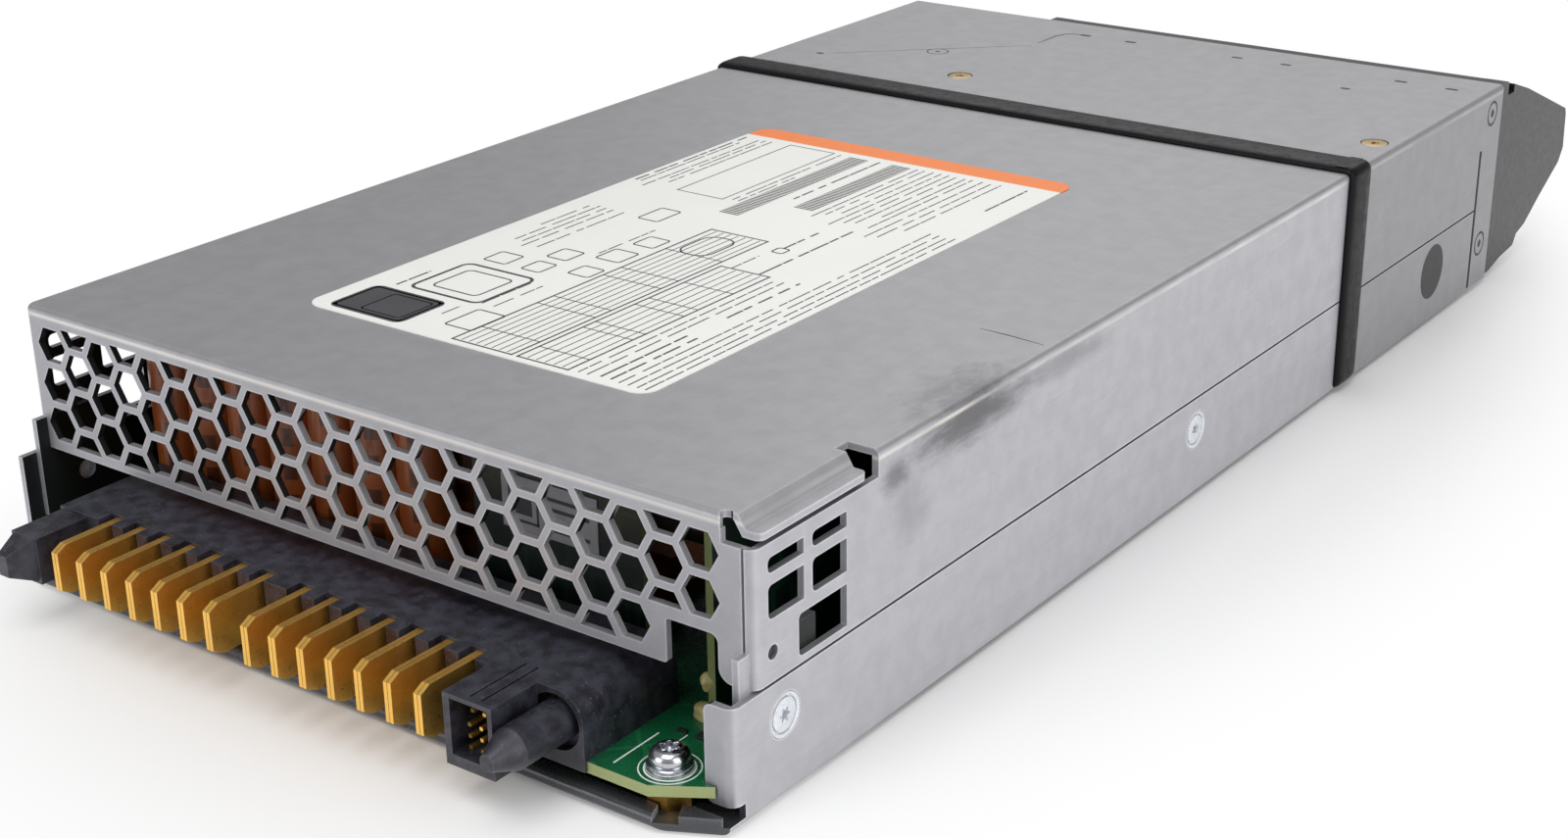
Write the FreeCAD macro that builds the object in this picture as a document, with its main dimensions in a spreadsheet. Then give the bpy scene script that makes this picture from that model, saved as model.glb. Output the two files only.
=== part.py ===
"""Hot swap server power supply: a 1U sheet-metal case with a blade connector, two fans and a latch.

Frame: millimetres, +Z up, +Y from the connector end to the handle end, X across the case.
The origin lies on the underside of the base tray, at mid width, in the plane of the honeycomb face.
"""
import FreeCAD, Part
import Sketcher
import math
import os

DOC = FreeCAD.newDocument("PowerSupply")

SIZES = {
    # case
    "body_width": 136.0, "body_height": 40.0, "body_length": 242.4, "sheet": 1.0, "bend": 0.9,
    "front_bend": 1.6, "seam_height": 17.0, "seam_gap": 0.4, "fit": 0.05, "loose_fit": 0.3,
    # base tray
    "tray_reach": 10.1, "corner_cut_x": 8.8, "corner_cut_y": 4.5, "hem_depth": 2.6,
    "hem_tab_from": 0.35, "hem_tab_to": 0.9, "hem_tab": 1.2,
    "wall_reach": 4.6, "front_flange": 4.5, "flange_lift": 3.0, "flange_relief": 2.2,
    "flange_round": 1.2,
    "side_screw_first": 6.0, "side_screw_pitch": 110.3, "side_screw_rise": 11.5,
    "side_screw_head": 6.2, "side_screw_shank": 3.0, "tab_width": 16.0, "tab_lap": 5.0,
    # honeycomb face
    "cell_pitch": 6.41, "cell_web": 1.1, "cell_inset": 8.2, "cell_margin": 4.5, "cell_top": 34.4,
    "cell_floor": 18.4, "cell_ceiling": 37.5, "cell_clip": 25.3,
    "notch_inset": 5.6, "notch_width": 8.1, "notch_top": 23.5, "notch_round": 1.2, "strip_round": 2.0,
    "plate_round": 0.5, "face_seam": 1.8, "face_seam_left": 0.5, "face_seam_depth": 0.6,
    # ledge beside the honeycomb face
    "ledge_start": 4.8, "ledge_bend": 3.1, "ledge_step": 1.9, "ledge_slope": 1.2, "ledge_over": 0.3,
    "ledge_front": 1.2, "ledge_end": 23.8, "ledge_relief": 26.6, "ledge_slot": 0.9,
    "ledge_round": 1.1, "keyhole": 1.6,
    # side vents
    "vent_front": 2.9, "vent_gap": 1.8, "vent_width": 7.4, "slot_floor": 32.1, "slot_ceiling": 34.2,
    "window_floor": 25.9, "window_ceiling": 30.5, "low_front": 9.1, "low_floor": 18.2,
    "low_ceiling": 24.1, "vent_round": 0.8,
    "pilot_y": 3.7, "pilot_z": 21.3, "pilot_width": 2.0,
    # far section and end plate
    "cover_joint": 174.0, "joint_gap": 0.6, "end_tab": 8.5, "end_slit": 1.2, "slit_top": 28.9,
    "tab_lift": 0.6, "rivet_low": 9.7, "rivet_high": 35.7, "rivet_inset": 4.9, "rivet_width": 2.6,
    "cover_screw_y": 17.0, "cover_screw_inset": 4.5, "cover_screw_left": 23.7,
    "cover_screw_head": 5.0, "cover_screw_shank": 2.6,
    "tongue_inset": 0.6, "tongue_lap": 8.0, "tongue_reach": 24.0,
    # band round the case
    "band_width": 8.0, "band_proud": 1.0, "band_lift": 0.3, "band_round": 1.6,
    # boards
    "board_rise": 4.0, "board_thickness": 1.6, "board_front": 9.3, "board_back": 46.4,
    "board_side_gap": 2.4, "board_cut_x": 7.4, "board_cut_y": 4.6,
    "film": 0.4, "film_margin": 1.6,
    "stud_inset": 10.2, "stud_first": 4.4, "stud_back": 54.4,
    "stud_width": 5.6, "stud_screw": 2.9, "stud_screw_head": 6.2, "stud_screw_rise": 3.0,
    # blade connector
    "shell_front": 9.8, "shell_depth": 18.8, "shell_left": 51.8, "shell_right": 48.5,
    "shell_height": 9.2, "shell_round": 4.1, "skirt_drop": 1.4,
    "blade_pitch": 5.3, "blade_gap": 7.4, "blade_first": 41.8, "blade_count": 7,
    "blade_thickness": 1.3, "blade_slit": 0.1, "blade_reach": 18.9, "blade_low": 6.7,
    "blade_high": 14.3, "blade_nose": 1.7, "blade_taper": 0.9, "comb_width": 3.0, "comb_depth": 2.6,
    "shroud_left": 33.0, "shroud_right": 41.2, "shroud_low": 4.6, "shroud_reach": 18.3,
    "shroud_wall": 1.1, "shroud_roof": 0.6, "shroud_floor": 1.6, "shroud_cheek": 0.7,
    "shroud_cavity": 8.2, "groove": 0.4, "groove_first": 36.6, "groove_pitch": 2.0, "groove_end": 6.7,
    "pin_width": 0.5, "pin_pitch_x": 2.0, "pin_pitch_z": 1.65, "pin_columns": 3, "pin_rows": 4,
    "pin_low": 6.55, "pin_length": 6.1, "pin_short": 0.7,
    "guide_x": 43.9, "guide_z": 10.1, "guide_radius": 2.9, "guide_tip_radius": 1.2,
    "guide_shoulder": 18.1, "guide_tip": 22.3, "guide_recess": 4.0, "guide_recess_depth": 1.5,
    "post_right": 46.3, "post_low": 7.0, "post_high": 14.2, "post_reach": 18.5, "post_step": 0.9,
    "post_tip_width": 2.0, "post_tip_height": 3.2,
    # parts on the main board
    "can_width": 8.2, "can_height": 29.0, "can_pitch": 8.7, "can_inset": 15.3, "can_count": 7,
    "can_row": 14.4, "can_rows": 2,
    "bar_width": 34.0, "bar_thickness": 2.0, "bar_height": 7.0, "bar_start": 31.0, "bar_length": 14.0,
    "card": 1.2, "card_inset": 14.0, "card_front": 8.4, "card_length": 44.0, "card_height": 28.0,
    "control_left": 10.0, "control_width": 30.0, "control_y": 13.0, "control_height": 30.0,
    "chip_width": 7.0, "chip_height": 7.0, "chip_depth": 2.2,
    "tag_left": 15.5, "tag_width": 17.0, "tag_low": 21.0, "tag_height": 8.0, "tag": 0.2,
    "sink_inset": 16.0, "sink_y": 46.5, "sink_base": 3.0, "sink_height": 27.0,
    "fin_length": 7.0, "fin": 1.0, "sink_fins": 26,
    "bridge_inset": 8.0, "bridge_width": 42.0, "bridge_y": 158.0, "bridge_fins": 10,
    "core_width": 34.0, "core_depth": 18.0, "core_height": 28.0, "core_x": 22.0, "core_y": 80.0,
    "core_leg": 10.0, "core_side": 5.0, "core_yoke": 5.0, "winding_clear": 0.3, "winding_round": 3.0,
    "bulk_width": 29.0, "bulk_length": 48.0, "bulk_y": 104.0, "bulk_inset": 24.0,
    "choke_outer": 30.0, "choke_inner": 11.0, "choke_height": 26.0, "choke_x": 2.0, "choke_y": 130.0,
    "filter_inset": 24.0, "filter_y": 182.0, "filter_outer": 22.0, "filter_inner": 9.0,
    "filter_height": 13.0, "filter_second_x": 14.0, "filter_second_y": 167.0,
    "block_inset": 10.0, "block_width": 26.0, "block_depth": 12.0, "block_height": 22.0,
    "block_y": 157.0, "block_pitch": 15.0, "block_round": 1.0,
    "relay_left": 26.0, "relay_width": 20.0, "relay_depth": 13.0, "relay_height": 16.0,
    "relay_y": 180.0,
    "fuse_left": 2.0, "fuse_y": 187.0, "fuse_length": 30.0, "fuse_radius": 3.0, "fuse_rise": 5.0,
    "fuse_clip": 5.0,
    # fans
    "fan_size": 38.0, "fan_depth": 28.0, "fan_bore": 35.0, "fan_inset": 51.0, "fan_spacing": 42.0,
    "fan_flange": 4.0, "fan_duct": 0.2, "fan_hub": 17.0, "fan_base": 4.0, "fan_strut": 2.4,
    "fan_hole_inset": 3.4, "fan_hole": 2.6, "rotor_hub": 17.0, "rotor_tip_gap": 0.8,
    "rotor_gap": 0.6, "rotor_length": 20.0, "rotor_blades": 5, "rotor_blade": 1.2,
    "rotor_sweep": 7.0, "rotor_chord": 15.0, "rotor_root": 2.0, "rotor_shaft": 3.0,
    "guard": 1.0, "guard_ring": 1.2, "guard_step": 5.5, "guard_rings": 3, "guard_bar": 1.6,
    "guard_reach": 18.2,
    "fan_screw_head": 4.6, "fan_screw_rise": 1.2,
    # power inlet
    "inlet_inset": 20.0, "inlet_z": 20.0, "inlet_flange_width": 28.0, "inlet_flange_height": 24.0,
    "inlet_flange": 2.0, "inlet_width": 25.6, "inlet_height": 21.0, "inlet_depth": 22.0,
    "socket_width": 22.6, "socket_height": 16.4, "socket_depth": 20.0, "socket_corner": 3.2,
    "prong_width": 6.0, "prong_thickness": 2.0, "prong_spread": 6.6, "prong_raise": 2.4,
    "prong_length": 16.0, "prong_tail": 6.0,
    "light_z": 35.6, "light_radius": 1.5, "light_length": 4.0, "light_proud": 1.2,
    # bezel with handle
    "bezel_width": 100.9, "bezel_inset": 0.6, "bezel_low": 0.8, "bezel_high": 39.8, "bezel_depth": 3.4,
    "bezel_rim": 0.8, "cheek": 4.2, "grip_round": 2.6, "notch_start": 4.6, "handle_reach": 41.8,
    "grip_depth": 11.0, "grip_low": 15.2, "grip_high": 25.6, "cheek_notch": 3.2,
    "cheek_notch_depth": 3.0, "hook_width": 2.6, "hook_height": 3.0, "hook_drop": 1.0,
    "hook_lip": 1.2, "hook_low": 8.0, "hook_high": 28.0,
    # release latch
    "pivot_back": 36.4, "pivot_inset": 3.6, "latch_eye": 2.2, "latch_pin": 1.0,
    "latch_low": 19.2, "latch_high": 28.8, "latch_arm": 1.4, "arm_inset": 1.3, "latch_reach": 18.6,
    "arm_reach": 13.6, "grip_lap": 1.2, "ear": 1.2, "pin_over": 0.6, "bracket_foot": 9.0,
    "tooth_back": 18.8, "tooth_length": 5.4, "tooth_flat": 0.6, "tooth_proud": 1.5,
    "grip_start": 5.6, "grip_out": 0.9, "grip_in": 2.6, "window_clear": 0.8,
    "bracket_inset": 9.0, "bracket_back": 42.4, "bracket_length": 18.0, "ear_reach": 4.6,
    "ear_gap": 0.3, "spring": 0.4, "spring_start": 8.4, "spring_foot": 3.4, "spring_run": 4.6,
    "spring_curl": 1.5, "spring_inset": 1.8,
    # label
    "label_left": 33.0, "label_width": 65.5, "label_start": 23.7, "label_length": 114.8,
    "label": 0.15, "label_round": 3.0,
}


class Size:
    """A length that carries its value and the spreadsheet expression behind it."""

    def __init__(self, value, text):
        self.value = float(value)
        self.text = text

    @staticmethod
    def of(other):
        """Wrap a plain number as a Size."""
        if isinstance(other, Size):
            return other
        return Size(other, repr(float(other)))

    def __add__(self, other):
        other = Size.of(other)
        return Size(self.value + other.value, f"({self.text} + {other.text})")

    def __sub__(self, other):
        other = Size.of(other)
        return Size(self.value - other.value, f"({self.text} - {other.text})")

    def __mul__(self, other):
        other = Size.of(other)
        return Size(self.value * other.value, f"({self.text} * {other.text})")

    def __truediv__(self, other):
        other = Size.of(other)
        return Size(self.value / other.value, f"({self.text} / {other.text})")

    def __neg__(self):
        return Size(-self.value, f"(0 - {self.text})")

    def __radd__(self, other):
        return Size.of(other) + self

    def __rsub__(self, other):
        return Size.of(other) - self

    def __rmul__(self, other):
        return Size.of(other) * self


class Sheet:
    """The spreadsheet of driving dimensions, read as attributes that return Size."""

    def __init__(self, table):
        self.cells = DOC.addObject("Spreadsheet::Sheet", "Sizes")
        for row, (name, value) in enumerate(table.items(), start=1):
            self.cells.set(f"A{row}", name)
            self.cells.set(f"B{row}", str(value))
            self.cells.setAlias(f"B{row}", name)
        DOC.recompute()
        self.names = list(table)

    def __getattr__(self, name):
        if name not in self.__dict__["names"]:
            raise AttributeError(name)
        return Size(self.__dict__["cells"].get(name), f"Sizes.{name}")


S = Sheet(SIZES)
PARTS = []


# ---------------------------------------------------------------- building blocks

def bind(owner, prop, length):
    """Set a property from a Size and tie it to the spreadsheet."""
    length = Size.of(length)
    owner.setExpression(prop, length.text)


def part(obj, label):
    """Register an object as the sub-part named label."""
    obj.Label = label
    PARTS.append(obj)
    return obj


def new_body(label, kept=True):
    """Make a PartDesign body; a kept body is a sub-part of its own."""
    body = DOC.addObject("PartDesign::Body", label)
    if kept:
        part(body, label)
    return body


def origin_plane(body, role):
    """Return one of the body's own origin planes or axes by role."""
    return next(f for f in body.Origin.OriginFeatures if f.Role == role)


def new_sketch(body, plane, at):
    """Sketch on an origin plane of the body, moved to `at` along the world axis normal to it."""
    sketch = body.newObject("Sketcher::SketchObject", f"{body.Name}_sketch")
    sketch.AttachmentSupport = (origin_plane(body, f"{plane}_Plane"), [""])
    sketch.MapMode = "FlatFace"
    at = Size.of(at)
    bind(sketch, "AttachmentOffset.Base.z", -at if plane == "XZ" else at)
    return sketch


def locate(sketch, geometry, point, position):
    """Tie a point of the sketch to its coordinates."""
    for kind, axis, length in (("DistanceX", -2, position[0]), ("DistanceY", -1, position[1])):
        length = Size.of(length)
        if abs(length.value) < 1e-9:
            sketch.addConstraint(Sketcher.Constraint("PointOnObject", geometry, point, axis))
        else:
            index = sketch.addConstraint(
                Sketcher.Constraint(kind, -1, 1, geometry, point, length.value))
            sketch.setExpression(f"Constraints[{index}]", length.text)


def add_loop(sketch, points):
    """Draw a closed outline through points and tie each corner down."""
    spots = [FreeCAD.Vector(Size.of(u).value, Size.of(v).value, 0) for u, v in points]
    first = sketch.GeometryCount
    for index, spot in enumerate(spots):
        sketch.addGeometry(Part.LineSegment(spot, spots[(index + 1) % len(spots)]), False)
    for index in range(len(spots)):
        after = (index + 1) % len(spots)
        sketch.addConstraint(
            Sketcher.Constraint("Coincident", first + index, 2, first + after, 1))
    for index, position in enumerate(points):
        locate(sketch, first + index, 1, position)


def add_circle(sketch, centre, radius):
    """Draw a circle, tied down by its centre and radius."""
    radius = Size.of(radius)
    spot = FreeCAD.Vector(Size.of(centre[0]).value, Size.of(centre[1]).value, 0)
    index = sketch.addGeometry(Part.Circle(spot, FreeCAD.Vector(0, 0, 1), radius.value), False)
    locate(sketch, index, 3, centre)
    mark = sketch.addConstraint(Sketcher.Constraint("Radius", index, radius.value))
    sketch.setExpression(f"Constraints[{mark}]", radius.text)


def rectangle(u0, v0, u1, v1):
    """Corners of an upright rectangle."""
    return [(u0, v0), (u1, v0), (u1, v1), (u0, v1)]


def sketch_of(body, plane, at, loops=(), circles=()):
    """Sketch closed outlines and circles on a plane of the body."""
    sketch = new_sketch(body, plane, at)
    for points in loops:
        add_loop(sketch, points)
    for centre, radius in circles:
        add_circle(sketch, centre, radius)
    DOC.recompute()
    return sketch


def pad(body, plane, at, length, loops=(), circles=()):
    """Extrude outlines from `at` along the positive world axis."""
    feature = body.newObject("PartDesign::Pad", f"{body.Name}_pad")
    feature.Profile = sketch_of(body, plane, at, loops, circles)
    bind(feature, "Length", length)
    feature.Reversed = plane == "XZ"
    DOC.recompute()
    return feature


def pocket(body, plane, at, length, loops=(), circles=()):
    """Cut outlines from `at` along the positive world axis."""
    before = body.Shape.Volume
    feature = body.newObject("PartDesign::Pocket", f"{body.Name}_cut")
    feature.Profile = sketch_of(body, plane, at, loops, circles)
    bind(feature, "Length", length)
    feature.Reversed = plane != "XZ"
    DOC.recompute()
    if not body.Shape.Volume < before:
        raise ValueError(f"{feature.Name} cuts nothing")
    return feature


def repeat(body, feature, direction, count, pitch, backward=False):
    """Repeat a feature in a row along a sketch axis of its own profile."""
    row = body.newObject("PartDesign::LinearPattern", f"{body.Name}_row")
    row.Originals = [feature]
    row.Direction = (feature.Profile[0], [direction])
    bind(row, "Length", pitch * (count - 1))
    row.Occurrences = int(round(Size.of(count).value))
    row.Reversed = backward
    body.Tip = row
    DOC.recompute()
    return row


def mirror(body, features):
    """Mirror features of the body about the plane at mid width."""
    copy = body.newObject("PartDesign::Mirrored", f"{body.Name}_mirror")
    copy.Originals = features
    copy.MirrorPlane = (origin_plane(body, "YZ_Plane"), [""])
    body.Tip = copy
    DOC.recompute()
    return copy


def edges_where(shape, test):
    """Names of the edges whose centre and direction pass a test."""
    names = []
    for index, edge in enumerate(shape.Edges, start=1):
        if edge.Curve.TypeId != "Part::GeomLine":
            continue
        middle = edge.CenterOfMass
        if test(middle, edge.tangentAt(edge.FirstParameter), edge.Length):
            names.append(f"Edge{index}")
    return names


def round_edges(body, radius, test, kind="PartDesign::Fillet"):
    """Round or bevel the edges of the body's tip that pass a test."""
    tip = body.Tip
    names = edges_where(tip.Shape, test)
    feature = body.newObject(kind, f"{body.Name}_round")
    feature.Base = (tip, names)
    bind(feature, "Radius" if kind.endswith("Fillet") else "Size", radius)
    DOC.recompute()
    return feature


def along(tangent, axis):
    """True where a direction runs along the given world axis."""
    return abs(getattr(tangent, axis)) > 0.999


def near(value, target):
    """True where two lengths agree."""
    return abs(value - Size.of(target).value) < 0.02


def place(obj, x=0, y=0, z=0):
    """Tie the position of an object to the spreadsheet."""
    for axis, length in (("x", x), ("y", y), ("z", z)):
        if not (isinstance(length, (int, float)) and length == 0):
            bind(obj, f"Placement.Base.{axis}", length)
    return obj


def box(name, x0, x1, y0, y1, z0, z1):
    """A Part box between two corners."""
    obj = DOC.addObject("Part::Box", name)
    bind(obj, "Length", Size.of(x1) - x0)
    bind(obj, "Width", Size.of(y1) - y0)
    bind(obj, "Height", Size.of(z1) - z0)
    return place(obj, x0, y0, z0)


TURNS = {
    "x": FreeCAD.Rotation(FreeCAD.Vector(0, 1, 0), 90),
    "y": FreeCAD.Rotation(FreeCAD.Vector(1, 0, 0), -90),
    "z": FreeCAD.Rotation(),
}


def cylinder(name, axis, radius, length, x=0, y=0, z=0):
    """A Part cylinder that starts at a point and runs along a world axis."""
    obj = DOC.addObject("Part::Cylinder", name)
    bind(obj, "Radius", radius)
    bind(obj, "Height", length)
    obj.Placement = FreeCAD.Placement(FreeCAD.Vector(), TURNS[axis])
    return place(obj, x, y, z)


def joined(label, pieces, kept=True):
    """Fuse Part objects into one sub-part."""
    obj = DOC.addObject("Part::MultiFuse", label)
    obj.Shapes = pieces
    DOC.recompute()
    return part(obj, label) if kept else obj


def group(label, template, spots):
    """Separate copies of one template solid, kept together as one sub-part."""
    DOC.recompute()
    copies = []
    for x, y, z in spots:
        copy = template.Shape.copy()
        copy.translate(FreeCAD.Vector(Size.of(x).value, Size.of(y).value, Size.of(z).value))
        copies.append(copy)
    obj = DOC.addObject("Part::Feature", label)
    obj.Shape = Part.makeCompound(copies)
    return part(obj, label)


def turned(label, outline, kept=False):
    """Revolve an outline of radius and height about the Z axis."""
    body = new_body(label, kept)
    feature = body.newObject("PartDesign::Revolution", f"{body.Name}_turn")
    feature.Profile = sketch_of(body, "XZ", 0, [outline])
    feature.ReferenceAxis = (feature.Profile[0], ["V_Axis"])
    feature.Angle = 360
    DOC.recompute()
    return body


def count_of(size):
    """A Size that counts copies, as a whole number."""
    return int(round(size.value))


HALF = S.body_width / 2
INNER = HALF - S.sheet
TOP = S.body_height
CEILING = TOP - S.sheet
END = S.body_length
BOARD_TOP = S.board_rise + S.board_thickness
BOARD_END = END - S.board_back
CELL_RIGHT = HALF - S.cell_inset
NOTCH_RIGHT = HALF - S.notch_inset
NOTCH_LEFT = NOTCH_RIGHT - S.notch_width
STUD_X = HALF - S.stud_inset
COVER_SCREW_Y = S.cover_joint + S.cover_screw_y
INLET_X = HALF - S.inlet_inset
BEZEL_RIGHT = HALF - S.bezel_inset
BEZEL_LEFT = BEZEL_RIGHT - S.bezel_width
PIVOT_X = HALF - S.pivot_inset
PIVOT_Y = END - S.pivot_back
ARM_X = HALF - S.arm_inset
ARM_END = END + S.arm_reach
TOOTH_START = END - S.tooth_back
TOOTH_END = TOOTH_START + S.tooth_length
BRACKET_X = HALF - S.bracket_inset
BRACKET_START = END - S.bracket_back
BRACKET_END = BRACKET_START + S.bracket_length


# ---------------------------------------------------------------- sheet-metal case

def side_screw_rows():
    """Positions of the side screws along the case."""
    return [S.side_screw_first, S.side_screw_first + S.side_screw_pitch]


def side_wall_end():
    """Where the long side walls stop, short of the end tabs."""
    return END - S.end_tab - S.end_slit


def make_base_tray():
    """Folded tray: floor with a hemmed front edge, two low walls and one front flange."""
    body = new_body("base_tray")
    nose_x = HALF - S.corner_cut_x
    nose_y = S.corner_cut_y - S.tray_reach
    tab_start = END - S.end_tab - S.fit
    tab_edge = INNER - S.fit
    pad(body, "XY", 0, S.sheet, [[
        (-nose_x, -S.tray_reach), (nose_x, -S.tray_reach), (HALF, nose_y), (HALF, tab_start),
        (tab_edge, tab_start), (tab_edge, END), (-tab_edge, END), (-tab_edge, tab_start),
        (-HALF, tab_start), (-HALF, nose_y)]])
    wall_height = S.seam_height - S.seam_gap / 2
    walls = [
        rectangle(INNER, -S.wall_reach, HALF, side_wall_end()),
        rectangle(-HALF, -S.wall_reach, -INNER, side_wall_end()),
    ]
    pad(body, "XY", 0, wall_height, walls)
    pad(body, "XY", S.flange_lift, wall_height - S.flange_lift,
        [rectangle(HALF - S.front_flange, -S.wall_reach, INNER + S.fit, S.sheet - S.wall_reach)])
    make_hem(body, nose_x)
    clear = S.flange_relief - S.wall_reach
    pocket(body, "YZ", HALF - S.front_flange - 1, S.front_flange + 2, [rectangle(
        -S.wall_reach - 1, S.sheet, clear, S.flange_lift)])
    holes = pocket(body, "YZ", INNER - 1, S.sheet + 2, circles=[
        ((y, S.side_screw_rise), S.side_screw_head / 2 + S.fit) for y in side_screw_rows()])
    mirror(body, [holes])
    round_edges(body, S.bend, lambda c, t, n: along(t, "y") and near(c.z, 0) and near(abs(c.x), HALF))
    round_edges(body, S.front_bend, lambda c, t, n: (
        along(t, "z") and near(c.x, HALF) and near(c.y, -S.wall_reach)))
    round_edges(body, S.flange_round, lambda c, t, n: (
        along(t, "y") and near(c.x, HALF - S.front_flange) and c.z > S.sheet.value))


def make_hem(body, nose_x):
    """Fold the front edge back on itself, with a separate folded tab on each slanted corner."""
    back = S.hem_depth - S.tray_reach
    pad(body, "XY", S.sheet, S.sheet, [[
        (-nose_x, -S.tray_reach), (nose_x, -S.tray_reach), (nose_x - S.sheet, back),
        (S.sheet - nose_x, back)]])
    round_edges(body, S.sheet * 0.9, lambda c, t, n: (
        along(t, "x") and near(c.y, -S.tray_reach) and n > S.body_width.value / 2))
    length = math.hypot(S.corner_cut_x.value, S.corner_cut_y.value)
    in_x = S.corner_cut_y * (-S.hem_depth.value / length)
    in_y = S.corner_cut_x * (S.hem_depth.value / length)
    spots = [(nose_x + S.corner_cut_x * share.value, S.corner_cut_y * share.value - S.tray_reach)
             for share in (S.hem_tab_from, S.hem_tab_to)]
    loop = spots + [(x + in_x, y + in_y) for x, y in reversed(spots)]
    tab = pad(body, "XY", S.sheet, S.hem_tab, [loop])
    mirror(body, [tab])


def hexagon(x, z, pitch, web):
    """Corners of a regular hexagonal hole with two level sides."""
    flat = (pitch - web) / 2
    side = flat * (1 / math.sqrt(3))
    return [(x + side * 2, z), (x + side, z + flat), (x - side, z + flat),
            (x - side * 2, z), (x - side, z - flat), (x + side, z - flat)]


def cut_cell(x, z, pitch, web, level, upward):
    """Corners of the part of a hexagonal hole that lies beyond a level line."""
    flat = (pitch - web) / 2
    side = flat * (1 / math.sqrt(3))
    reach = level - z if upward else z - level
    half = side + (flat - reach) * (1 / math.sqrt(3))
    far = z + flat if upward else z - flat
    return [(x - half, level), (x + half, level), (x + side, far), (x - side, far)]


def make_top_cover():
    """Cover of the connector section: honeycomb face, vents, ledges and screw tabs."""
    body = new_body("top_cover")
    skirt = S.seam_height + S.seam_gap / 2
    length = S.cover_joint - S.joint_gap / 2
    pad(body, "XZ", 0, length, [[
        (-HALF, skirt), (-HALF, TOP), (HALF, TOP), (HALF, skirt),
        (INNER, skirt), (INNER, CEILING), (-INNER, CEILING), (-INNER, skirt)]])
    pad(body, "XZ", 0, S.sheet, [[
        (-HALF, skirt), (NOTCH_LEFT, skirt), (NOTCH_LEFT, S.notch_top),
        (NOTCH_RIGHT, S.notch_top), (NOTCH_RIGHT, skirt), (HALF, skirt), (HALF, TOP), (-HALF, TOP)]])
    round_edges(body, S.front_bend, lambda c, t, n: (
        along(t, "z") and near(c.y, 0) and near(abs(c.x), HALF)))
    round_edges(body, S.bend, lambda c, t, n: (
        (along(t, "x") and near(c.y, 0) and near(c.z, TOP))
        or (along(t, "y") and near(c.z, TOP) and near(abs(c.x), HALF))))
    corners = ((NOTCH_LEFT, skirt, S.plate_round), (NOTCH_LEFT, S.notch_top, S.plate_round),
               (NOTCH_RIGHT, S.notch_top, S.notch_round), (NOTCH_RIGHT, skirt, S.strip_round))
    for x, z, radius in corners:
        round_edges(body, radius, lambda c, t, n, x=x, z=z: (
            along(t, "y") and near(c.x, x) and near(c.z, z)))
    make_honeycomb(body)
    make_face_seams(body, skirt)
    make_vents(body)
    make_ledge(body)
    make_tongue(body)
    for y in side_screw_rows():
        tab = pad(body, "YZ", INNER - S.sheet, S.sheet, [rectangle(
            y - S.tab_width / 2, S.side_screw_rise - S.tab_lap, y + S.tab_width / 2, skirt + S.tab_lap)],
            [((y, S.side_screw_rise), S.side_screw_shank / 2 + S.fit)])
        mirror(body, [tab])


def make_tongue(body):
    """Joggled tongue under the top that reaches below the end cover and takes its screws."""
    edge = INNER - S.tongue_inset
    holes = [((x, COVER_SCREW_Y), S.cover_screw_shank / 2 + S.fit) for x in cover_screw_columns()]
    pad(body, "XY", CEILING - S.sheet, S.sheet, [rectangle(
        -edge, S.cover_joint - S.tongue_lap, edge, S.cover_joint + S.tongue_reach)], holes)


def make_honeycomb(body):
    """Cut the honeycomb: full columns, staggered columns and two short columns at the notch."""
    column_pitch = S.cell_pitch * (math.sqrt(3) / 2)
    cell = (S.cell_pitch, S.cell_web)
    rows = [S.cell_top, S.cell_top - S.cell_pitch, S.cell_top - S.cell_pitch * 2]
    mids = [S.cell_top - S.cell_pitch * 0.5, S.cell_top - S.cell_pitch * 1.5]
    above = S.cell_top + S.cell_pitch * 0.5
    below = S.cell_top - S.cell_pitch * 2.5
    columns = [CELL_RIGHT - column_pitch * steps for steps in range(4)]
    deep = S.sheet + 2
    pocket(body, "XZ", -1, deep, [hexagon(columns[0], z, *cell) for z in rows[:2]] + [
        cut_cell(columns[1], above, *cell, S.cell_ceiling, False),
        hexagon(columns[1], mids[0], *cell),
        cut_cell(columns[1], mids[1], *cell, S.cell_clip, True)])
    even = pocket(body, "XZ", -1, deep, [hexagon(columns[2], z, *cell) for z in rows])
    repeat(body, even, "H_Axis", cells_left_of(columns[2], column_pitch), column_pitch * 2, backward=True)
    odd = pocket(body, "XZ", -1, deep, [hexagon(columns[3], z, *cell) for z in mids] + [
        cut_cell(columns[3], above, *cell, S.cell_ceiling, False),
        cut_cell(columns[3], below, *cell, S.cell_floor, True)])
    repeat(body, odd, "H_Axis", cells_left_of(columns[3], column_pitch), column_pitch * 2, backward=True)


def cells_left_of(first, column_pitch):
    """How many columns, two pitches apart, fit between the first one and the left margin."""
    room = first.value + HALF.value - S.cell_margin.value
    return int(room / (column_pitch.value * 2)) + 1


def make_face_seams(body, skirt):
    """Score the lines where the side walls meet the folded-down face."""
    shelf = TOP - S.ledge_step * 2
    left = -HALF + S.face_seam_left
    right = HALF - S.face_seam
    seams = [rectangle(right, skirt - 1, right + S.seam_gap, shelf)]
    seams += [rectangle(left, low, left + S.seam_gap * 1.5, high)
              for low, high in ((skirt - 1, S.window_ceiling), (shelf, CEILING))]
    pocket(body, "XZ", -1, S.face_seam_depth + 1, seams)


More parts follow.
